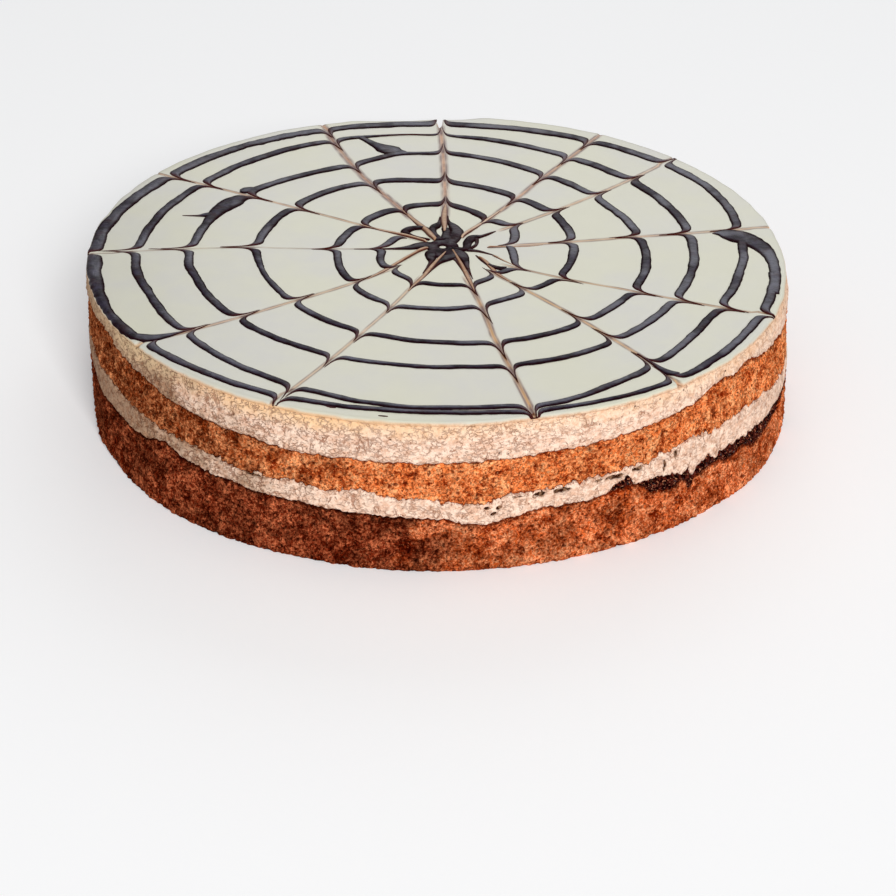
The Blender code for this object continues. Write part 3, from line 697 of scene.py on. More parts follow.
def streak_fibres(look):
    """Thin brown lines that run along a ray."""
    joined = look.add("ShaderNodeCombineXYZ")
    look.put(joined.inputs["X"], look.attribute("across") * 2.4)
    look.put(joined.inputs["Y"], look.noise(14 * MM, 1, 0.5) * 4.0)
    made = look.add("ShaderNodeTexNoise")
    look.put(made.inputs["Vector"], joined.outputs["Vector"])
    made.inputs["Scale"].default_value = 1.0
    made.inputs["Detail"].default_value = 1.0
    return look.span(made.outputs["Fac"], 0.52, 0.68)


def band_material():
    """Bands of smeared icing through the heart, browner at their edges."""
    look = Shading("smeared_band")
    mottle = look.span(look.noise(1.6 * MM, 3, 0.6), 0.4, 0.7, 0, 0.35)
    colour = look.mix(mottle + look.attribute("thin"), BAND_TAN, BAND_PALE)
    colour = look.mix(look.attribute("edge"), colour, STREAK_EDGE)
    look.set(Base_Color=colour, Roughness=0.4, Specular_IOR_Level=0.3)
    return look.material


def drizzle_material(name, dark, light, gloss, patch):
    """Dark chocolate that set with a satin skin: slate in patches along its back, partly from its sheen
    and partly from a painted bluish sheen in the web's lighter tone, and darker and redder at its
    edges, with painted shade, and where it was drawn out thin."""
    look = Shading(name)
    # For the web, the lighter tone is a painted bluish sheen
    colour = look.mix(look.span(look.noise(3 * MM, 4, 0.65), 0.35, 0.68), dark, light)
    wine = look.span(look.noise(6 * MM, 3, 0.6, shift=0.6), 0.52, 0.68, 0, 0.65)
    colour = look.mix(wine, colour, WEB_WINE)
    thin, edge = look.attribute("thin"), look.attribute("edge")
    # Painted shade at the drizzle's edges
    colour = look.mix(edge * 0.9, colour, WEB_EDGE_SHADE)
    colour = look.mix(thin, colour, WEB_THIN)
    waves = look.bump(look.noise(2.2 * MM, 3, 0.6), 0.5 * MM, 0.45)
    sheen = look.span(look.larger(thin * 0.7, edge), 0, 1, gloss, 0.02)
    patches = look.span(look.noise(patch, 3, 0.6, shift=0.8), 0.42, 0.62, 0.2, 1.7)
    sheen = sheen * patches
    look.set(Base_Color=colour, Roughness=0.34, Normal=waves, Specular_IOR_Level=sheen,
             Specular_Tint=SHEEN)
    return look.material


def outward(direction):
    """Unit vectors for one direction or an array of them."""
    angle = np.radians(direction)
    return np.stack([np.cos(angle), np.sin(angle), np.zeros_like(angle)], axis=-1)


def clamped(values):
    return np.clip(values, 0, 1)


def bell(values, middle, spread):
    """1 at the middle, dying away smoothly on both sides of it."""
    return np.exp(-((values - middle) / spread) ** 2)


def eased(knots, azimuths):
    """Values at azimuths, eased from knot to knot all the way round."""
    places = np.array([knot[0] for knot in knots], float)
    values = np.array([knot[1] for knot in knots], float)
    after = np.searchsorted(places, azimuths % 360, side="right") % len(places)
    before = after - 1
    span = (places[after] - places[before]) % 360
    share = ((azimuths - places[before]) % 360) / span
    share = share * share * (3 - 2 * share)
    return values[before] + (values[after] - values[before]) * share


def bumps(points, size, shift=0.0):
    """Smooth noise from about -1 to 1 at each point, with bumps of about the given size."""
    places = (points / size + shift).reshape(-1, 3)
    found = [noise.noise(Vector(place)) for place in places.tolist()]
    return np.array(found).reshape(points.shape[:-1])


def pores(points, size, reach, share):
    """1 in the middle of random round pores, falling to 0 at their edge."""
    found = []
    for point in (points / size).reshape(-1, 3).tolist():
        distances, middles = noise.voronoi(Vector(point))
        chosen = noise.cell(middles[0] * 37.0) < share
        found.append(max(0.0, 1 - distances[0] / reach) if chosen else 0.0)
    return np.array(found).reshape(points.shape[:-1]) ** 0.7


def column_azimuths():
    """Even columns round the cake, and closer ones at the slit in the rim."""
    even = np.arange(COLUMNS) * 360 / COLUMNS
    reach = SLIT_HALF_ANGLE * 1.3
    close = SLIT_AZIMUTH + np.linspace(-reach, reach, SLIT_COLUMNS)
    clear = even[np.abs(even - SLIT_AZIMUTH) > reach + 0.1]
    return np.sort(np.concatenate([clear, close]))


# Where the slit is, and the columns round the cake
SLIT_RAY = max(RAYS, key=lambda ray: ray.notch)
SLIT_AZIMUTH = math.degrees(math.atan2(
    WEB_CENTRE.y + RAY_RADII[2] * math.sin(math.radians(SLIT_RAY.outer)),
    WEB_CENTRE.x + RAY_RADII[2] * math.cos(math.radians(SLIT_RAY.outer)),
))
AZIMUTHS = column_azimuths()
OUTWARD = outward(AZIMUTHS)
ROUND_WOBBLE = bumps(OUTWARD * TOP_RADIUS, 60 * MM) * 0.7 * MM


def side_radius(heights):
    """The cake narrows towards the top, is dented at the back and isn't quite round."""
    share = heights / ICING_TOP
    base = eased(BASE_EDGE, AZIMUTHS) * MM
    dent = np.minimum(eased(ICING_EDGE, AZIMUTHS) * MM - TOP_RADIUS, 0) * share * share
    return base + (TOP_RADIUS - base) * share + dent + ROUND_WOBBLE


def seam(knots, shift, ragged):
    """Height of the seam between two layers: its knots, and the crumbs along it."""
    rim = OUTWARD * TOP_RADIUS
    fine = bumps(rim, 3.2 * MM, shift) * 1.1 + bumps(rim, 1.4 * MM, shift + 9) * 0.9
    fine += bumps(rim, 0.8 * MM, shift + 13) * 0.6
    sideways = bumps(rim, 1.8 * MM, shift + 5) * 0.6 * ragged
    return (eased(knots, AZIMUTHS + sideways) + fine * ragged) * MM


def closed_mesh(name, rings, material, values):
    """Closed mesh from rings of points, from the one round the middle below to the one above."""
    rows, columns = rings.shape[:2]
    points = np.concatenate([
        rings.reshape(-1, 3),
        rings[0].mean(axis=0, keepdims=True),
        rings[-1].mean(axis=0, keepdims=True),
    ])
    near = np.arange(columns)
    far = (near + 1) % columns
    faces = []
    for row in range(rows - 1):
        base = row * columns
        above = base + columns
        faces += np.stack([base + near, base + far, above + far, above + near], 1).tolist()
    low, high = rows * columns, rows * columns + 1
    last = (rows - 1) * columns
    faces += np.stack([np.full(columns, low), far, near], 1).tolist()
    faces += np.stack([np.full(columns, high), last + near, last + far], 1).tolist()
    whole = {key: np.concatenate([numbers.ravel(), [0, 0]]) for key, numbers in values.items()}
    return smooth_piece(name, points.tolist(), faces, material, whole)


def smooth_piece(name, points, faces, material, values):
    """An object in the scene. Its material reads the values that it carries at its points."""
    mesh = bpy.data.meshes.new(name)
    mesh.from_pydata(points, [], faces)
    for key, numbers in values.items():
        carried = mesh.attributes.new(key, "FLOAT", "POINT")
        carried.data.foreach_set("value", np.array(numbers, np.float32))
    mesh.materials.append(material)
    mesh.shade_smooth()
    piece = bpy.data.objects.new(name, mesh)
    bpy.context.scene.collection.objects.link(piece)
    return piece


def dress(piece, node):
    """The piece stands for a node of the solids, which it hides."""
    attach(piece, "root")
    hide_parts(node)


def layer(name, low, high, surface, inside, material):
    """A layer whose side runs between two heights. The surface function says how each point of
    the side moves outward and what values it carries. Inside are the heights of the level middle."""
    rows = max(FEWEST_ROWS, int((high - low).max() / ROW_HEIGHT))
    shares = np.linspace(0, 1, rows)[:, None]
    heights = low + (high - low) * shares
    radius = side_radius(heights)
    up = np.array([0, 0, 1.0])
    points = OUTWARD * radius[..., None] + heights[..., None] * up
    moved, values = surface(points, heights - low, high - heights)
    points = points + OUTWARD * moved[..., None]
    level = [OUTWARD * LEVEL_RADIUS + height * up for height in inside]
    tucked = [edge - OUTWARD * TUCK for edge in (points[0], points[-1])]
    rings = np.stack([level[0], tucked[0], *points, tucked[1], level[1]])
    spread = {key: np.pad(numbers, ((2, 2), (0, 0))) for key, numbers in values.items()}
    return closed_mesh(name, rings, material, spread)


def torn_crumb(points, below, above, shift):
    """How a cut sponge stands out and in: torn crumbs, fine grain and open pores."""
    torn = bumps(points, 4.5 * MM, shift) * 0.45 + bumps(points, 1.8 * MM, shift + 3) * 0.55
    torn += bumps(points, 1.0 * MM, shift + 5) * 0.4
    bent = points + bumps(points, 1.6 * MM, shift + 7)[..., None] * 0.5 * MM
    hollow = pores(bent + shift * MM, 3.4 * MM, 0.28, 0.3)
    hollow = np.maximum(hollow, pores(bent - shift * MM, 1.9 * MM, 0.3, 0.35) * 0.7)
    edge = np.exp(-np.minimum(below, above) / (0.5 * MM))
    moved = (torn + 0.15 - hollow - edge * 0.35) * MM
    # The shader paints shade into the hollow pores and light onto the raised crumbs
    return moved, {"hollow": hollow, "raised": torn}


def lower_sponge_surface(points, below, above):
    """It bows in a little between a rounded foot and a dark band of crust and painted shade."""
    moved, values = torn_crumb(points, below, above, 11.0)
    footing = np.exp(-below / (0.9 * MM))
    moved = moved - 0.2 * MM * footing - 0.3 * MM * np.sin(np.pi * below / (below + above))
    # A dark band of crust and painted shade under the layer above
    values["crust_and_shade"] = clamped(1 - above / (2.2 * MM))
    return moved, values


def upper_sponge_surface(points, below, above):
    """It bows in a little between two dark bands of crust and painted shade, of which the upper one is
    thick at the right.
    """
    moved, values = torn_crumb(points, below, above, 23.0)
    moved -= 0.4 * MM * np.sin(np.pi * below / (below + above))
    depth = (1.1 + 2.8 * bell(AZIMUTHS, *THICK_CRUST_AND_SHADE)) * MM
    values["crust_and_shade"] = clamped(1 - above / depth) + np.clip(1 - below / (0.9 * MM), 0, 0.75)
    return moved, values


def in_cavities(points):
    """Depth in metres and share of each cavity at the side. Their outlines are ragged."""
    heights = points[..., 2]
    depth = np.zeros_like(heights)
    share = np.zeros_like(heights)
    ragged = bumps(points, 1.7 * MM, 61.0) * 0.5 + bumps(points, 0.8 * MM, 67.0) * 0.45
    for azimuth, height, half_width, half_height, deep in CAVITIES:
        across = (AZIMUTHS - azimuth) / half_width
        along = (heights / MM - height) / half_height
        inside = clamped((1.2 + ragged - np.hypot(across, along)) * 2.2)
        depth = np.maximum(depth, inside * deep * MM)
        share = np.maximum(share, inside)
    return depth, share


def smeared(points, below, above, shift, lumpy_at):
    """Cream scraped along the side, lumpier in one place at the left of the front."""
    flat = points * np.array([1, 1, 1.5])
    lumpy = 1 + 1.9 * bell(AZIMUTHS, *lumpy_at)
    fine = (bumps(flat, 2.6 * MM, shift + 4) * 0.2 + bumps(flat, 1.2 * MM, shift + 8) * 0.19) * lumpy
    pits = pores(points + shift * MM, 2.9 * MM, 0.2, 0.25)
    pitted = 0.25 + 0.75 * bell(AZIMUTHS, *PITTED_CREAM) + 0.3 * bell(AZIMUTHS, *PITTED_FRONT)
    # The shader paints shade into the pits and low places, and light onto raised ones
    values = {
        "hollow": pits * 0.8, "raised": fine, "rough": np.broadcast_to(pitted, fine.shape),
        "seam": np.exp(-np.minimum(below, above) / (0.8 * MM)),
    }
    return bumps(flat, 8 * MM, shift) * 0.4 + fine - pits * 0.5, values


def middle_cream_surface(points, below, above):
    """Smeared cream that bulges a little, with open cavities."""
    moved, values = smeared(points, below, above, 31.0, LUMPY_MIDDLE_CREAM)
    edge = np.exp(-np.minimum(below, above) / (0.45 * MM))
    depth, share = in_cavities(points)
    moved = (moved + 0.35 - edge * 0.3) * MM - depth
    # Painted shade fills the cavities
    values["hollow"] = np.maximum(values["hollow"], share)
    values["stain"] = np.zeros_like(share)
    return moved, values


def top_cream_surface(points, below, above):
    """The cream's shoulder rounds in to meet the icing's edge, and the slit runs down into it."""
    moved, values = smeared(points, below, above + 9 * MM, 47.0, LUMPY_TOP_CREAM)
    edge = np.exp(-below / (0.45 * MM))
    depth, share = in_cavities(points)
    moved = (moved + 0.35 - edge * 0.3) * MM - depth
    # Painted shade fills the cavities
    values["hollow"] = np.maximum(values["hollow"], share)
    shoulder = clamped(1 - above / (3.4 * MM))
    reach = np.linalg.norm(points[..., :2], axis=-1)
    icing = eased(ICING_EDGE, AZIMUTHS) * MM - 0.2 * MM
    moved = moved * (1 - shoulder) + (icing - reach) * shoulder ** 2
    slit = clamped(1 - np.abs(AZIMUTHS - SLIT_AZIMUTH) / SLIT_HALF_ANGLE)
    moved -= slit * SLIT_RAY.notch * MM * clamped(1 - above / SLIT_HEIGHT)
    drift = bumps(points, 9 * MM, 3.0) * 1.4 * MM
    stain_height = (4.6 + 1.2 * bell(AZIMUTHS, *DEEPLY_STAINED)) * MM
    values["stain"] = clamped(1.15 - (above + drift) / stain_height) * stained(AZIMUTHS)
    return moved, values


def stained(azimuths):
    """How stained the cream under the icing is: most so at the left of the front and at the left."""
    return 0.34 + 0.55 * np.maximum(bell(azimuths, *STAINED_FRONT), bell(azimuths, *STAINED_LEFT))


def fudge_surface(points, below, above):
    """A lumpy bulge, larger where the fudge is thick."""
    whole = np.maximum(below + above, 0.01 * MM)
    bulge = np.sin(np.pi * below / whole) * np.minimum(whole / (3 * MM), 1)
    lumps = bumps(points, 2.4 * MM, 5.0) * 0.7 + bumps(points, 1.2 * MM, 7.0) * 0.7
    return (bulge * 0.9 + lumps * bulge - 0.3) * MM, {}


def seam_heights():
    """Heights of the seams round the cake, from the ground up to the bed that the icing lies on."""
    lower_top = seam(LOWER_SPONGE_TOP, 1.0, 0.6)
    rim = OUTWARD * TOP_RADIUS
    sideways = bumps(rim, 1.5 * MM, 31.0) * 0.5
    uneven = 1 + bumps(rim, 2.2 * MM, 33.0) * 0.3
    fudge = np.maximum(eased(FUDGE_AT_SIDE, AZIMUTHS + sideways) * uneven, 0) * MM
    fudge_top = np.maximum(seam(LOWER_SPONGE_TOP, 2.0, 0.55) + fudge, lower_top)
    fudge_top = np.where(fudge > 0, fudge_top, lower_top)
    upper_low = seam(UPPER_SPONGE_BOTTOM, 3.0, 1.2)
    upper_low = np.maximum(upper_low, fudge_top + 1.0 * MM)
    upper_top = seam(UPPER_SPONGE_TOP, 4.0, 0.55)
    bed = np.full_like(AZIMUTHS, ICING_TOP - ICING_THICKNESS)
    ground = np.zeros_like(AZIMUTHS)
    return ground, lower_top, fudge_top, upper_low, upper_top, bed


def build_layers():
    """The layers of the cake, each standing for its solid."""
    ground, lower_top, fudge_top, upper_low, upper_top, bed = seam_heights()
    fudge_level = SPONGE_INSIDE + FUDGE_INSIDE
    dark = sponge_material("dark_sponge", LOWER_WEST, LOWER_EAST, -8 * MM, 24 * MM, (0.7, 1.22))
    brown = sponge_material("brown_sponge", UPPER_WEST, UPPER_EAST, -78 * MM, -16 * MM, (0.87, 1.06))
    cream = cream_material("cream", -102 * MM, -54 * MM)
    middle_cream = cream_material("middle_cream", -98 * MM, -36 * MM)
    pieces = (
        ("lower_sponge", ground, lower_top, lower_sponge_surface, (0, SPONGE_INSIDE), dark,
         "lower_sponge", "sponge_bottom"),
        ("fudge_seam", lower_top, fudge_top, fudge_surface, (SPONGE_INSIDE, fudge_level),
         fudge_material(), "fudge", "fudge_filling"),
        ("middle_cream", fudge_top, upper_low, middle_cream_surface, (fudge_level, CREAM_INSIDE),
         middle_cream, "cream", "cream_middle"),
        ("upper_sponge", upper_low, upper_top, upper_sponge_surface, (CREAM_INSIDE, UPPER_SPONGE_INSIDE),
         brown, "upper_sponge", "sponge_top"),
        ("top_cream", upper_top, bed, top_cream_surface, (UPPER_SPONGE_INSIDE, bed[0]), cream,
         "cream", "cream_top"),
    )
    for name, low, high, surface, inside, material, slot, node in pieces:
        dress(layer(name, low, high, surface, inside, material), node)


def ray_directions(ray, radii):
    """Directions of a ray at distances from the web's centre: it bends a little on its way."""
    inner, middle, outer = RAY_RADII
    low = np.maximum((radii - inner) / (middle - inner), -0.3)
    high = np.minimum((radii - middle) / (outer - middle), 1.1)
    return np.where(radii < middle, ray.inner + (ray.middle - ray.inner) * low,
                    ray.middle + (ray.outer - ray.middle) * high)


def rim_distances(directions):
    """How far the icing's edge is from the web's centre. The edge is broken at the left."""
    out = outward(directions)
    centre = np.array(WEB_CENTRE)
    reach = np.full(np.shape(directions), TOP_RADIUS)
    for refinement in range(REFINEMENTS):
        places = centre + out * reach[..., None]
        azimuths = np.degrees(np.arctan2(places[..., 1], places[..., 0]))
        reach += eased(ICING_EDGE, azimuths) * MM - np.linalg.norm(places[..., :2], axis=-1)
    edges = out * reach[..., None]
    broken = 1 + 2.5 * bell(directions % 360, *BROKEN_RIM)
    return reach + (bumps(edges, 9 * MM, 2.0) * 0.5 + bumps(edges, 2.6 * MM, 6.0) * 0.15 * broken) * MM


def lip_drop(radii, rim):
    """How far the icing's rounded lip has fallen away at distances from the web's centre."""
    over = np.clip(radii - (rim - LIP_ROUND), 0, 0.98 * LIP_ROUND)
    return LIP_ROUND - np.sqrt(LIP_ROUND ** 2 - over ** 2)


def sheet_columns(radii):
    """Directions of the icing's columns at each radius, and each column's distance to the side of
    its ray. The columns follow the rays, and lie closest beside them."""
    directions, distances, rays = [], [], []
    for number, ray in enumerate(RAYS):
        following = RAYS[(number + 1) % len(RAYS)]
        start = ray_directions(ray, radii)
        end = ray_directions(following, radii)
        end = end + 360 * (end[-1] < start[-1])
        gap = end - start
        limits = np.linspace(0, STEPS_SHARE, len(STREAK_STEPS))
        steps = [np.minimum(np.degrees(step / radii), gap * limit)
                 for step, limit in zip(STREAK_STEPS, limits)]
        for step, distance in zip(steps, STREAK_STEPS):
            directions.append(start + step)
            distances.append(distance)
            rays.append(number)
        low, high = start + steps[-1], end - steps[-1]
        for count in range(1, BETWEEN_COLUMNS):
            directions.append(low + (high - low) * count / BETWEEN_COLUMNS)
            distances.append(FAR_FROM_RAY)
            rays.append(number)
        for step, distance in zip(reversed(steps[1:]), reversed(STREAK_STEPS[1:])):
            directions.append(end - step)
            distances.append(-distance)
            rays.append((number + 1) % len(RAYS))
    return np.stack(directions, axis=1), np.array(distances), np.array(rays)


def notched(rim, distances, rays):
    """The icing's rim with a notch where each ray leaves it. The slit's sides are nearly upright."""
    notches = np.array([RAYS[number].notch for number in rays]) * MM
    slit = notches == SLIT_RAY.notch * MM
    inside = clamped(1 - np.abs(distances) / np.where(slit, SLIT_HALF_WIDTH, NOTCH_HALF_WIDTH))
    return rim - notches * np.where(slit, inside ** SLIT_STEEPNESS, inside)


def sheet_rings(inner, rim):
    """Radii and heights of the icing's rings: over its top, round its lip, and back under it."""
    last = rim - LIP_ROUND
    radii = [np.minimum(radius, last * radius / NOTCH_FREE_RADIUS) for radius in inner]
    start = radii[-1]
    radii += [start + (last - start) * share for share in SHARES_TO_LIP]
    heights = [ICING_TOP] * len(radii)
    for angle in LIP_ANGLES:
        way = math.radians(angle)
        radii.append(last + LIP_ROUND * math.sin(way))
        heights.append(ICING_TOP - LIP_ROUND * (1 - math.cos(way)))
    radii += [rim - 0.4 * MM, rim - 3 * MM, rim * 0.2]
    heights += [ICING_TOP - ICING_THICKNESS - SUNK_IN_CREAM] * RINGS_BELOW
    return np.array(radii), np.array(heights)[:, None]


def icing_sheet():
    """The sheet of icing, with a rounded lip, skewer grooves, and notches where they leave it."""
    inner = np.arange(1, int(SHEET_ROWS_END / SHEET_ROW)) * SHEET_ROW
    outer_rows = len(SHARES_TO_LIP) + len(LIP_ANGLES) + RINGS_BELOW
    rows = np.concatenate([inner, np.full(outer_rows, TOP_RADIUS)])
    directions, distances, rays = sheet_columns(rows)
    rim = notched(rim_distances(directions[-1]), distances, rays)
    radii, heights = sheet_rings(inner, rim)
    up = np.array([0, 0, 1.0])
    rings = np.array(WEB_CENTRE) + outward(directions) * radii[..., None] + heights[..., None] * up
    top = len(radii) - RINGS_BELOW
    swell = bumps(rings[:top], 34 * MM, 1.0) * 0.12 * MM + bumps(rings[:top], 9 * MM, 4.0) * 0.03 * MM
    groove = bell(distances, 0, GROOVE_HALF_WIDTH) * GROOVE_DEPTH
    fade = clamped((radii[:top] - RAY_START) / (6 * MM))
    rings[:top, :, 2] += swell - groove * fade
    values = streak_values(rings, radii, distances, rays)
    azimuths = np.degrees(np.arctan2(rings[..., 1], rings[..., 0])) % 360
    sunk = ICING_TOP - rings[..., 2] + bumps(rings, 3 * MM, 5.0) * 0.35 * MM
    beyond = clamped((radii - (rim - 2.2 * MM)) / (1.5 * MM))
    values["lip"] = clamped((sunk - 0.35 * MM) / (0.6 * MM)) * beyond
    values["stain"] = stained(azimuths) * 0.8
    return closed_mesh("icing_sheet", rings[::-1], icing_material(),
                       {key: numbers[::-1] for key, numbers in values.items()})


def streak_values(rings, radii, distances, rays):
    """How tan and how brown the icing is beside each ray. Past each crossing it is brown, where the
    skewer took the chocolate along."""
    half, shows, gold = (np.array([getattr(RAYS[number], key) for number in rays])
                         for key in ("half", "shows", "gold"))
    aside = np.abs(distances) / (half * MM)
    tan = bell(aside, 0, 1) * shows * clamped(bumps(rings, 9 * MM, 8.0) * 0.5 + 1.05)
    edges = bell(aside, 1, 0.45) * clamped(bumps(rings, 6 * MM, 12.0) * 1.3 + 0.8)
    taken = np.zeros_like(radii)
    for direction, ray in crossings():
        if SPIRAL_START <= direction <= SPIRAL_END:
            past = (radii - spiral_radii(np.array([direction]))) * ray.way - 2 * MM
            past = past / (ray.smear * MM)
            share = np.exp(-1.2 * np.maximum(past, 0) ** 2) * clamped(1 + past * 4)
            taken = np.maximum(taken, np.where(rays == RAYS.index(ray), share, 0))
    taken = taken * np.exp(-(aside * (1.4 - 0.5 * taken)) ** 2)
    brown = np.maximum(edges * clamped(shows + 0.1) * 0.9, taken)
    fade = clamped((radii - RAY_START) / (5 * MM))
    return {
        "streak": clamped(tan * fade), "line": clamped(brown * fade),
        "across": np.broadcast_to(distances / MM, radii.shape),
        "gold": np.broadcast_to(gold, radii.shape),
    }


def profile_heights(rise):
    """Heights across a stroke: a low dome with round edges, and its feet sunk in the icing."""
    dome = np.sqrt(clamped(1 - np.abs(PROFILE) ** 2.4))
    heights = rise[..., None] * dome
    heights[..., 0] = heights[..., -1] = -DRIZZLE_FOOT
    return heights


def smooth_between(before, start, end, after, share):
    """A share of the way from start to end, on a smooth curve through all four values."""
    slope_in = (end - before) / 2
    slope_out = (after - start) / 2
    swing = end - start
    cubic = slope_in + slope_out - 2 * swing
    square = 3 * swing - 2 * slope_in - slope_out
    return start + slope_in * share + square * share ** 2 + cubic * share ** 3


def spiral_radii(directions):
    """Radius of the spiral at unwound directions, on a smooth curve through its values."""
    first_value = next(place for place, value in enumerate(SPIRAL_RADII) if value)
    values = np.array([value or SPIRAL_RADII[first_value] for value in SPIRAL_RADII])
    place = directions / SPIRAL_STEP
    first = np.floor(place).astype(int)
    share = place - first
    four = (values[np.clip(first + offset, first_value, len(values) - 1)] for offset in (-1, 0, 1, 2))
    smooth = smooth_between(*four, share)
    for middle, spread, change in STRAYS:
        smooth = smooth + change * bell(directions, middle, spread)
    return smooth * MM


def drizzle_widths(directions):
    """Width of the drizzle at unwound directions."""
    width = DRIZZLE_WIDTH + WIDER_AT_BACK * np.sin(np.radians(directions))
    for middle, spread, change in WIDTH_CHANGES:
        width += change * MM * bell(directions, middle, spread)
    return width


def crossings():
    """Unwound direction and ray of each place where the spiral crosses a ray."""
    found = []
    for turn in range(len(SPIRAL_RADII) * SPIRAL_STEP // 360 + 1):
        for ray in RAYS:
            direction = ray.middle + 360 * turn
            for refinement in range(REFINEMENTS):
                radius = spiral_radii(np.array([direction]))
                direction = float(ray_directions(ray, radius)[0]) + 360 * turn
            found.append((direction, ray))
    return found


def drag(distances, way, tail):
    """How far the skewer pulled the drizzle along a ray, at distances to the side of it."""
    shoulder = SHOULDER_LENGTH * np.exp(-distances / SHOULDER_SPREAD)
    return way * (tail * np.exp(-distances / TAIL_SPREAD) + shoulder)


def streak_gap(ray, radius):
    """Half the gap that the skewer left along a ray. It closes where it took much chocolate along, and
    is wide at the slit in the rim."""
    if ray == SLIT_RAY and radius > SLIT_FROM_RADIUS:
        return SLIT_GAP
    return STREAK_HALF_WIDTH * (1 - ray.smear / 18)


def stroke_places(gaps, length):
    """Distances along a stroke of some length between the gaps at its ends, closest at those."""
    side = SIDE_STEPS[SIDE_STEPS < length * 0.4]
    first, last = gaps[0] + side[-1], length - gaps[1] - side[-1]
    middle = np.arange(first + STROKE_STEP, last - STROKE_STEP / 2, STROKE_STEP)
    return np.concatenate([gaps[0] + side, middle, length - gaps[1] - side[::-1]])


def stroke(start, end, tails):
    """Rings of the drizzle between two rays, its ends pulled out along them."""
    (start, start_ray), (end, end_ray) = start, end
    radius = float(spiral_radii(np.array([(start + end) / 2]))[0])
    gaps = streak_gap(start_ray, radius), streak_gap(end_ray, radius)
    degree = math.radians(1) * radius
    length = (end - start) * degree
    places = stroke_places(gaps, length)
    directions = start + places / degree
    inside = (directions >= SPIRAL_START) & (directions <= SPIRAL_END)
    if inside.sum() < 4:
        return None
    places, directions = places[inside], directions[inside]
    pulled = drag(places - gaps[0], start_ray.way, tails[0])
    pulled += drag(length - places - gaps[1], end_ray.way, tails[1])
    centre = spiral_radii(directions) + pulled
    line = outward(directions) * centre[:, None]
    centre = centre + bumps(line, 11 * MM, 15.0) * WANDER
    half = drizzle_widths(directions) / 2 * (1 + bumps(line, 7 * MM, 21.0) * 0.18)
    across = centre[:, None] + half[:, None] * PROFILE
    points = outward(directions)[:, None, :] * across[..., None]
    rough = 1 + 2.2 * bell(directions, *ROUGH_DRIZZLE)
    ripple = bumps(points, 3.2 * MM, 2.0) * 0.22 * MM + bumps(points, 1.6 * MM, 4.0) * 0.13 * MM
    rim = rim_distances(directions)[:, None]
    across = np.minimum(across + ripple * PROFILE ** 3 * rough[:, None], rim - STROKE_INSET)
    slope = np.gradient(centre, places)
    thinness = 1 / np.hypot(1, slope)
    rise = DRIZZLE_RISE * np.maximum(thinness, 0.2) ** 0.5
    points = np.array(WEB_CENTRE) + outward(directions)[:, None, :] * across[..., None]
    points[..., 2] = ICING_TOP + profile_heights(rise) - lip_drop(across, rim)
    hairline = 1 - half / (1.1 * MM)
    return points, clamped(np.maximum(1.15 - thinness * 1.15, hairline))


def smooth_route(route, step):
    """Points close together on a smooth curve through a route's own points."""
    points = np.array(route, float)
    padded = np.concatenate([points[:1], points, points[-1:]])
    found = []
    for before, start, end, after in zip(padded, padded[1:], padded[2:], padded[3:]):
        count = max(2, int(np.linalg.norm((end - start)[:2]) / step))
        share = (np.arange(count) / count)[:, None]
        found.append(smooth_between(before, start, end, after, share))
    found.append(points[-1:])
    return np.concatenate(found)


def routed(route, step=0.6, band=False, lift=1.0):
    """Rings of a stroke along (x, y, half-width) points in millimetres from the web's centre. A band
    lies over the heart and sinks into the icing outside it. Lift makes a stroke higher than others."""
    smooth = smooth_route(route, step) * MM
    places, half = smooth[:, :2], np.maximum(smooth[:, 2], 0.1 * MM)
    ahead = np.gradient(places, axis=0)
    ahead /= np.linalg.norm(ahead, axis=1, keepdims=True)
    aside = np.stack([ahead[:, 1], -ahead[:, 0]], axis=1)
    points = np.zeros((len(places), len(PROFILE), 3))
    points[..., :2] = places[:, None] + aside[:, None] * (half[:, None] * PROFILE)[..., None]
    wobble = bumps(points, 3 * MM, 9.0) * 0.12 * np.abs(PROFILE) ** 3
    points[..., :2] += aside[:, None] * (half[:, None] * wobble * np.sign(PROFILE))[..., None]
    ends = np.minimum(np.arange(len(places)), np.arange(len(places))[::-1])
    rise = DRIZZLE_RISE * lift * np.minimum(half / (1.4 * MM), 1) ** 0.6
    rise = rise * clamped((ends + 1) / 3) ** 0.5
    if band:
        out = np.linalg.norm(places, axis=1)
        rise = np.interp(out, BAND_LEVELS, BAND_RISES) * clamped((ends + 0.5) / 3)
    points[..., 2] = ICING_TOP + profile_heights(rise)
    points[..., :2] += np.array(WEB_CENTRE[:2])
    return points, clamped(1 - half / (1.3 * MM))


def around_web(route):
    """A route given by direction and radius, as places from the web's centre."""
    return [(radius * math.cos(math.radians(direction)), radius * math.sin(math.radians(direction)), half)
            for direction, radius, half in route]


def join_strokes(name, strokes, material):
    """One mesh of closed strokes, each given by its rings and by how thin each ring is."""
    points, faces, thin, edge = [], [], [], []
    for rings, thinness in strokes:
        base = len(points)
        count, sides = rings.shape[:2]
        points += rings.reshape(-1, 3).tolist()
        thin += np.repeat(thinness, sides).tolist()
        edge += np.tile(EDGE_SHADE_SHARES, count).tolist()
        faces.append([base + side for side in range(sides)])
        for ring in range(count - 1):
            for side in range(sides):
                near = base + ring * sides
                beside = (side + 1) % sides
                faces.append([near + side, near + sides + side, near + sides + beside, near + beside])
        faces.append([base + (count - 1) * sides + side for side in reversed(range(sides))])
    return smooth_piece(name, points, faces, material, {"thin": thin, "edge": edge})


def ring_route():
    """The ring round the small bubble in the middle of the heart."""
    return around_web([(direction, HEART_RING_RADIUS, HEART_RING_HALF)
                       for direction in range(0, 361, HEART_RING_STEP)])


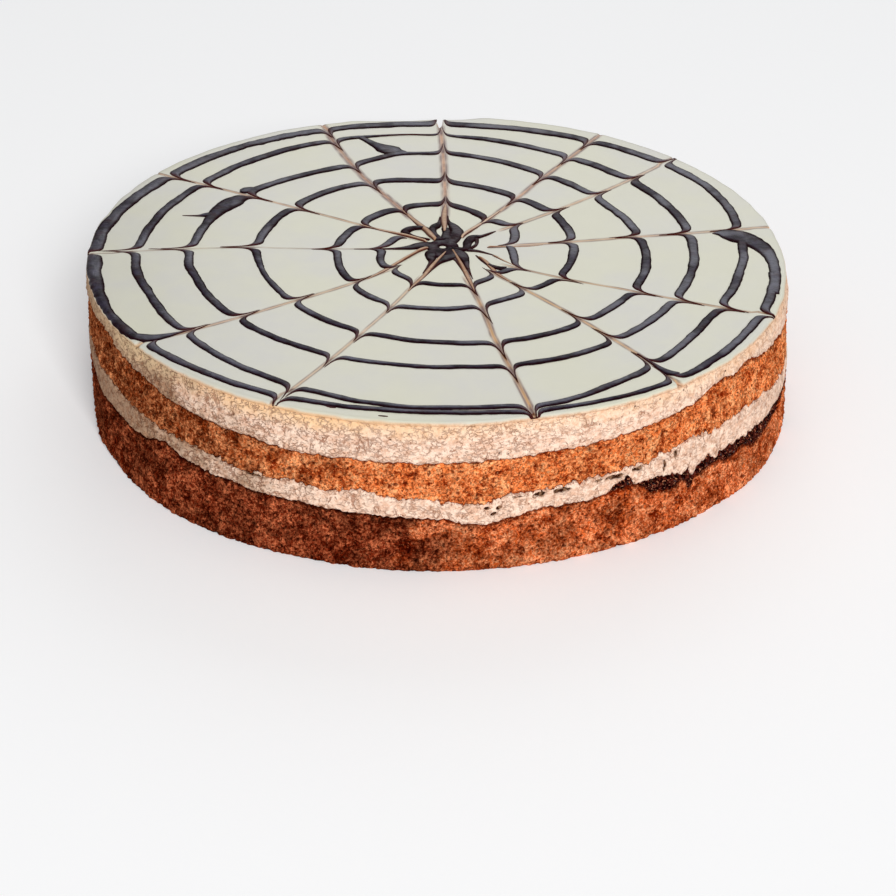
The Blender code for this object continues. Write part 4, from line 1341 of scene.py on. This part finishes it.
def dragged_strokes():
    """The spiral from ray to ray. How far each end was dragged is drawn at random."""
    chance = np.random.default_rng(DRAG_SEED)
    strokes = []
    found = crossings()
    for start, end in zip(found, found[1:]):
        reach = float(spiral_radii(np.array([start[0]]))[0]) / FULL_TAIL_RADIUS
        length = np.array([0.5 + ray.smear / 12 for ray in (start[1], end[1])])
        tails = TAIL_LENGTH * length * chance.uniform(0.7, 1.4, 2) * min(max(reach, 0.35), 1)
        made = stroke(start, end, tails)
        if made:
            strokes.append(made)
    return strokes


def build_icing():
    """The icing and everything that was drawn on it, standing for the one solid of icing."""
    drizzle = drizzle_material("drizzle", WEB_DARK, WEB_PAINTED_SHEEN, 0.36, 20 * MM)
    dark_drizzle = drizzle_material("dark_drizzle", HEART_DARK, HEART_LIGHT, 0.09, 7 * MM)
    sheet = icing_sheet()
    across = [routed(around_web(route)) for route in ACROSS.values()]
    web = join_strokes("drizzle", dragged_strokes() + across, drizzle)
    petals = [routed(route, lift=HEART_LIFTS[number % len(HEART_LIFTS)])
              for number, route in enumerate(HEART.values())]
    heart = join_strokes("web_heart", [*petals, routed(ring_route())], dark_drizzle)
    paths = [(routed(around_web(route), band=True)[0], pale) for pale, route in BANDS]
    paths = [(rings, np.full(len(rings), pale)) for rings, pale in paths]
    bands = join_strokes("smeared_bands", paths, band_material())
    for piece in (sheet, web, heart, bands):
        dress(piece, "icing")


def stage_floor():
    """A plain pale floor, bright enough to stay almost white where the lights fall off."""
    look = Shading("floor")
    look.set(Base_Color=srgb(249, 249, 249), Roughness=0.7, Specular_IOR_Level=0.1,
             Emission_Color=(1, 1, 1), Emission_Strength=0.08)
    corners = [(across * FLOOR_HALF, along * FLOOR_HALF, 0)
               for across, along in ((-1, -1), (1, -1), (1, 1), (-1, 1))]
    floor = smooth_piece("floor", corners, [(0, 1, 2, 3)], look.material, {})


def softbox(name, azimuth, elevation, width, height, power, dull=False):
    """A soft rectangular light that faces the cake. A dull one leaves no glare on glossy icing."""
    light = bpy.data.lights.new(name, "AREA")
    light.shape = "RECTANGLE"
    light.size, light.size_y = width, height
    light.energy = power
    lamp = bpy.data.objects.new(name, light)
    turn, rise = math.radians(azimuth), math.radians(elevation)
    way = Vector((math.cos(turn) * math.cos(rise), math.sin(turn) * math.cos(rise), math.sin(rise)))
    lamp.location = way * LIGHT_DISTANCE
    lamp.rotation_euler = way.to_track_quat("Z", "Y").to_euler()
    lamp.visible_glossy = not dull
    bpy.context.scene.collection.objects.link(lamp)


def light_studio():
    """Soft light from the camera's side and from behind, under a pale sky."""
    world = bpy.data.worlds.new("studio")
    world.use_nodes = True
    background = world.node_tree.nodes["Background"]
    background.inputs["Color"].default_value = (0.97, 0.98, 1.0, 1)
    background.inputs["Strength"].default_value = 0.4
    bpy.context.scene.world = world
    softbox("key", azimuth=286, elevation=31, width=2.2, height=2.2, power=288, dull=True)
    softbox("back", azimuth=78, elevation=32, width=4.4, height=2.8, power=64)
    bpy.context.scene.view_settings.view_transform = "Standard"


def add_camera():
    camera = bpy.data.objects.new("camera", bpy.data.cameras.new("camera"))
    rise = math.radians(CAMERA_ELEVATION)
    place = Vector((0, -math.cos(rise), math.sin(rise))) * CAMERA_DISTANCE
    camera.matrix_world = (
        Matrix.Translation(place)
        @ Matrix.Rotation(math.radians(-CAMERA_TURN), 4, "Z")
        @ Matrix.Rotation(math.radians(90 - CAMERA_LOOKS_DOWN), 4, "X")
        @ Matrix.Rotation(math.radians(CAMERA_ROLL), 4, "Z")
    )
    camera.data.lens = CAMERA_LENS
    bpy.context.scene.collection.objects.link(camera)
    bpy.context.scene.camera = camera


add_camera()
light_studio()
stage_floor()
build_layers()
build_icing()
